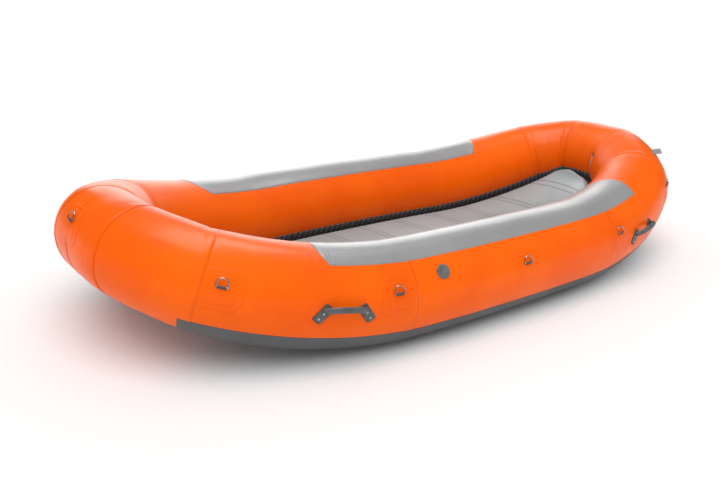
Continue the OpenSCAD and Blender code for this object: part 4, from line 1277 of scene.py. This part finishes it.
low_points[:, 2] -= HEM_DROP - lace_up
high_points = on_tube(between_arcs, BAND_HIGH - 8, BAND + 2 * GAP + LACE_RADIUS + 0.002)
corner_points = np.stack([low_points, high_points], 1).reshape(-1, 3)
lace_path = []
for k, corner in enumerate(corner_points):
    before, after = corner_points[k - 1], corner_points[(k + 1) % len(corner_points)]
    for step in (0.06, 0.02):
        lace_path.append(corner + (before - corner) * step)
    for step in (0.02, 0.06, 0.3, 0.5, 0.7):
        lace_path.append(corner + (after - corner) * step)
lace_path = np.array(lace_path)
lace = new_piece("lacing_cord", *swept(
    lace_path, (LACE_RADIUS, LACE_RADIUS), np.broadcast_to([0, 0, 1.0], lace_path.shape),
    sides=10, closed=True))
rope = Finish("lacing_rope")
rope_skin = rope.skin()
twist = (rope.part(rope_skin, 0) * 900.0 + rope.part(rope_skin, 1) * 200.0).sine() * 0.5 + 0.5
rope_material = rope.surface({
    "Base Color": rope.mixed(twist, (0.02, 0.021, 0.022, 1), (0.075, 0.078, 0.08, 1)),
    "Roughness": 0.75 + rope.noise(rope.place(), 200.0) * 0.1,
    "Normal": rope.bump(twist, 0.0006)})
dress(tidy(lace, "hull", "lace", "floor_lace"), rope_material)
lace_length = float(np.linalg.norm(np.diff(lace_path, axis=0), axis=1).sum())
print("eyelets", len(lace_arcs), "lace", round(lace_length, 2), "m")

# %% [markdown]
# ## Webbing at the stern
# A pale strap is glued down the inside of the stern, with its stitched end uppermost,
# and a stiff tab stands up from the top of the tube. The strap is a thick sheet on
# the skin.

# %% Strap
pale_webbing = webbing("pale_webbing", (0.4, 0.46, 0.52), (0.56, 0.62, 0.67), rib=0.008,
                       depth=0.0005, across=0)
olive_webbing = webbing("olive_webbing", (0.05, 0.052, 0.03), (0.1, 0.1, 0.06), rib=0.004,
                        depth=0.0004)
tab_webbing = webbing("tab_webbing", (0.2, 0.2, 0.2), (0.32, 0.32, 0.32), rib=0.005,
                      depth=0.0005)
STRAP_ARC, STRAP_WIDE, STRAP_THICK = STERN - 0.205, 0.05, 0.002


def strap_piece(name, wide, start, end, low, thick):
    arcs = STRAP_ARC + np.array([-wide / 2, -wide / 2 + 0.0008, -wide / 4, 0, wide / 4,
                                 wide / 2 - 0.0008, wide / 2])
    angles = np.unique(np.append(np.arange(start, end, 1.5), [start + 0.3, end - 0.3, end]))
    s, angle = np.meshgrid(arcs, angles, indexing="ij")
    inside = ((np.abs(s - STRAP_ARC) < wide / 2 - 0.0004) & (angle > start + 0.1)
              & (angle < end - 0.1))
    return closed_sheet(name, on_tube(s, angle, low + np.where(inside, thick, 0.4 * thick)),
                        on_tube(s, angle, low), skin_uv(s, angle))


strap = strap_piece("stern_strap_webbing", STRAP_WIDE, 160.0, 200.5, GAP, STRAP_THICK)
dress(tidy(strap, "hull", "strap", "stern_strap"), pale_webbing)
strap_end = strap_piece("stern_strap_end", STRAP_WIDE + 0.004, 159.8, 166.0,
                        GAP + STRAP_THICK, 0.0014)
dress(tidy(strap_end, "hull", "strap"), olive_webbing)
print("strap", STRAP_WIDE * 1000, "mm wide")

# %% [markdown]
# ## The tab's shape
# The tab is a folded strip with its two ends sewn down as feet. Seen from its end it
# is a fold with a round top, leaning back.

# %% Stern tab
TAB_ARC, TAB_ANGLE, TAB_WIDE, TAB_REACH = STERN - 0.439, 55.0, 0.07, 0.044
TAB_LEAN, TAB_ROUND = 0.75, 0.0016
tab_top = np.linspace(0, math.pi, 7)
fold = np.stack([TAB_ROUND * np.cos(tab_top) - TAB_LEAN * TAB_REACH,
                 TAB_REACH - TAB_ROUND + TAB_ROUND * np.sin(tab_top)], -1)
foot = np.array([[-0.0018, 0.006], [-0.0035, 0.0034], [-0.0115, 0.0028], [-0.012, 0.0018],
                 [-0.012, 0.0006], [0.012, 0.0006], [0.012, 0.0018], [0.0115, 0.0028],
                 [0.0035, 0.0034], [0.0018, 0.006]])
tab_outline = np.concatenate([fold, foot])
out, up, along, _ = tube_axes(TAB_ARC)
tab_turn = math.radians(TAB_ANGLE)
tab_outward = math.cos(tab_turn) * out + math.sin(tab_turn) * up
tab_mesh = swept_outline(tab_outline, on_tube(TAB_ARC, TAB_ANGLE), along,
                         np.cross(tab_outward, along), tab_outward, TAB_WIDE, 9)
tab = new_piece("stern_tab_folded", *tab_mesh, smooth=False)
dress(tidy(tab, "hull", "tab", "stern_tab"), tab_webbing)
print("tab", TAB_WIDE * 1000, "mm wide")

# %% [markdown]
# ## The floor it stands on
# The studio floor isn't part of the raft. It runs far enough back to fill the view,
# like a sweep of pale paper, and its faint mottle keeps it from looking like a void.

# %% Studio floor
paper = Finish("studio_paper")
paper_tone = paper.noise(paper.place(), 0.7, 2.0)
paper.surface({"Base Color": paper.mixed(paper_tone, (0.86, 0.86, 0.86, 1), (0.88, 0.88, 0.88, 1)),
               "Roughness": 0.9, "Specular IOR Level": 0.1})
floor_half = 60.0
studio_floor = new_piece("studio_floor", [(x * floor_half, y * floor_half, 0.0)
                                          for x, y in ((-1, -1), (1, -1), (1, 1), (-1, 1))],
                         [(0, 1, 2, 3)])
dress(studio_floor, paper.material)
print("studio floor", 2 * floor_half, "m square")

# %% [markdown]
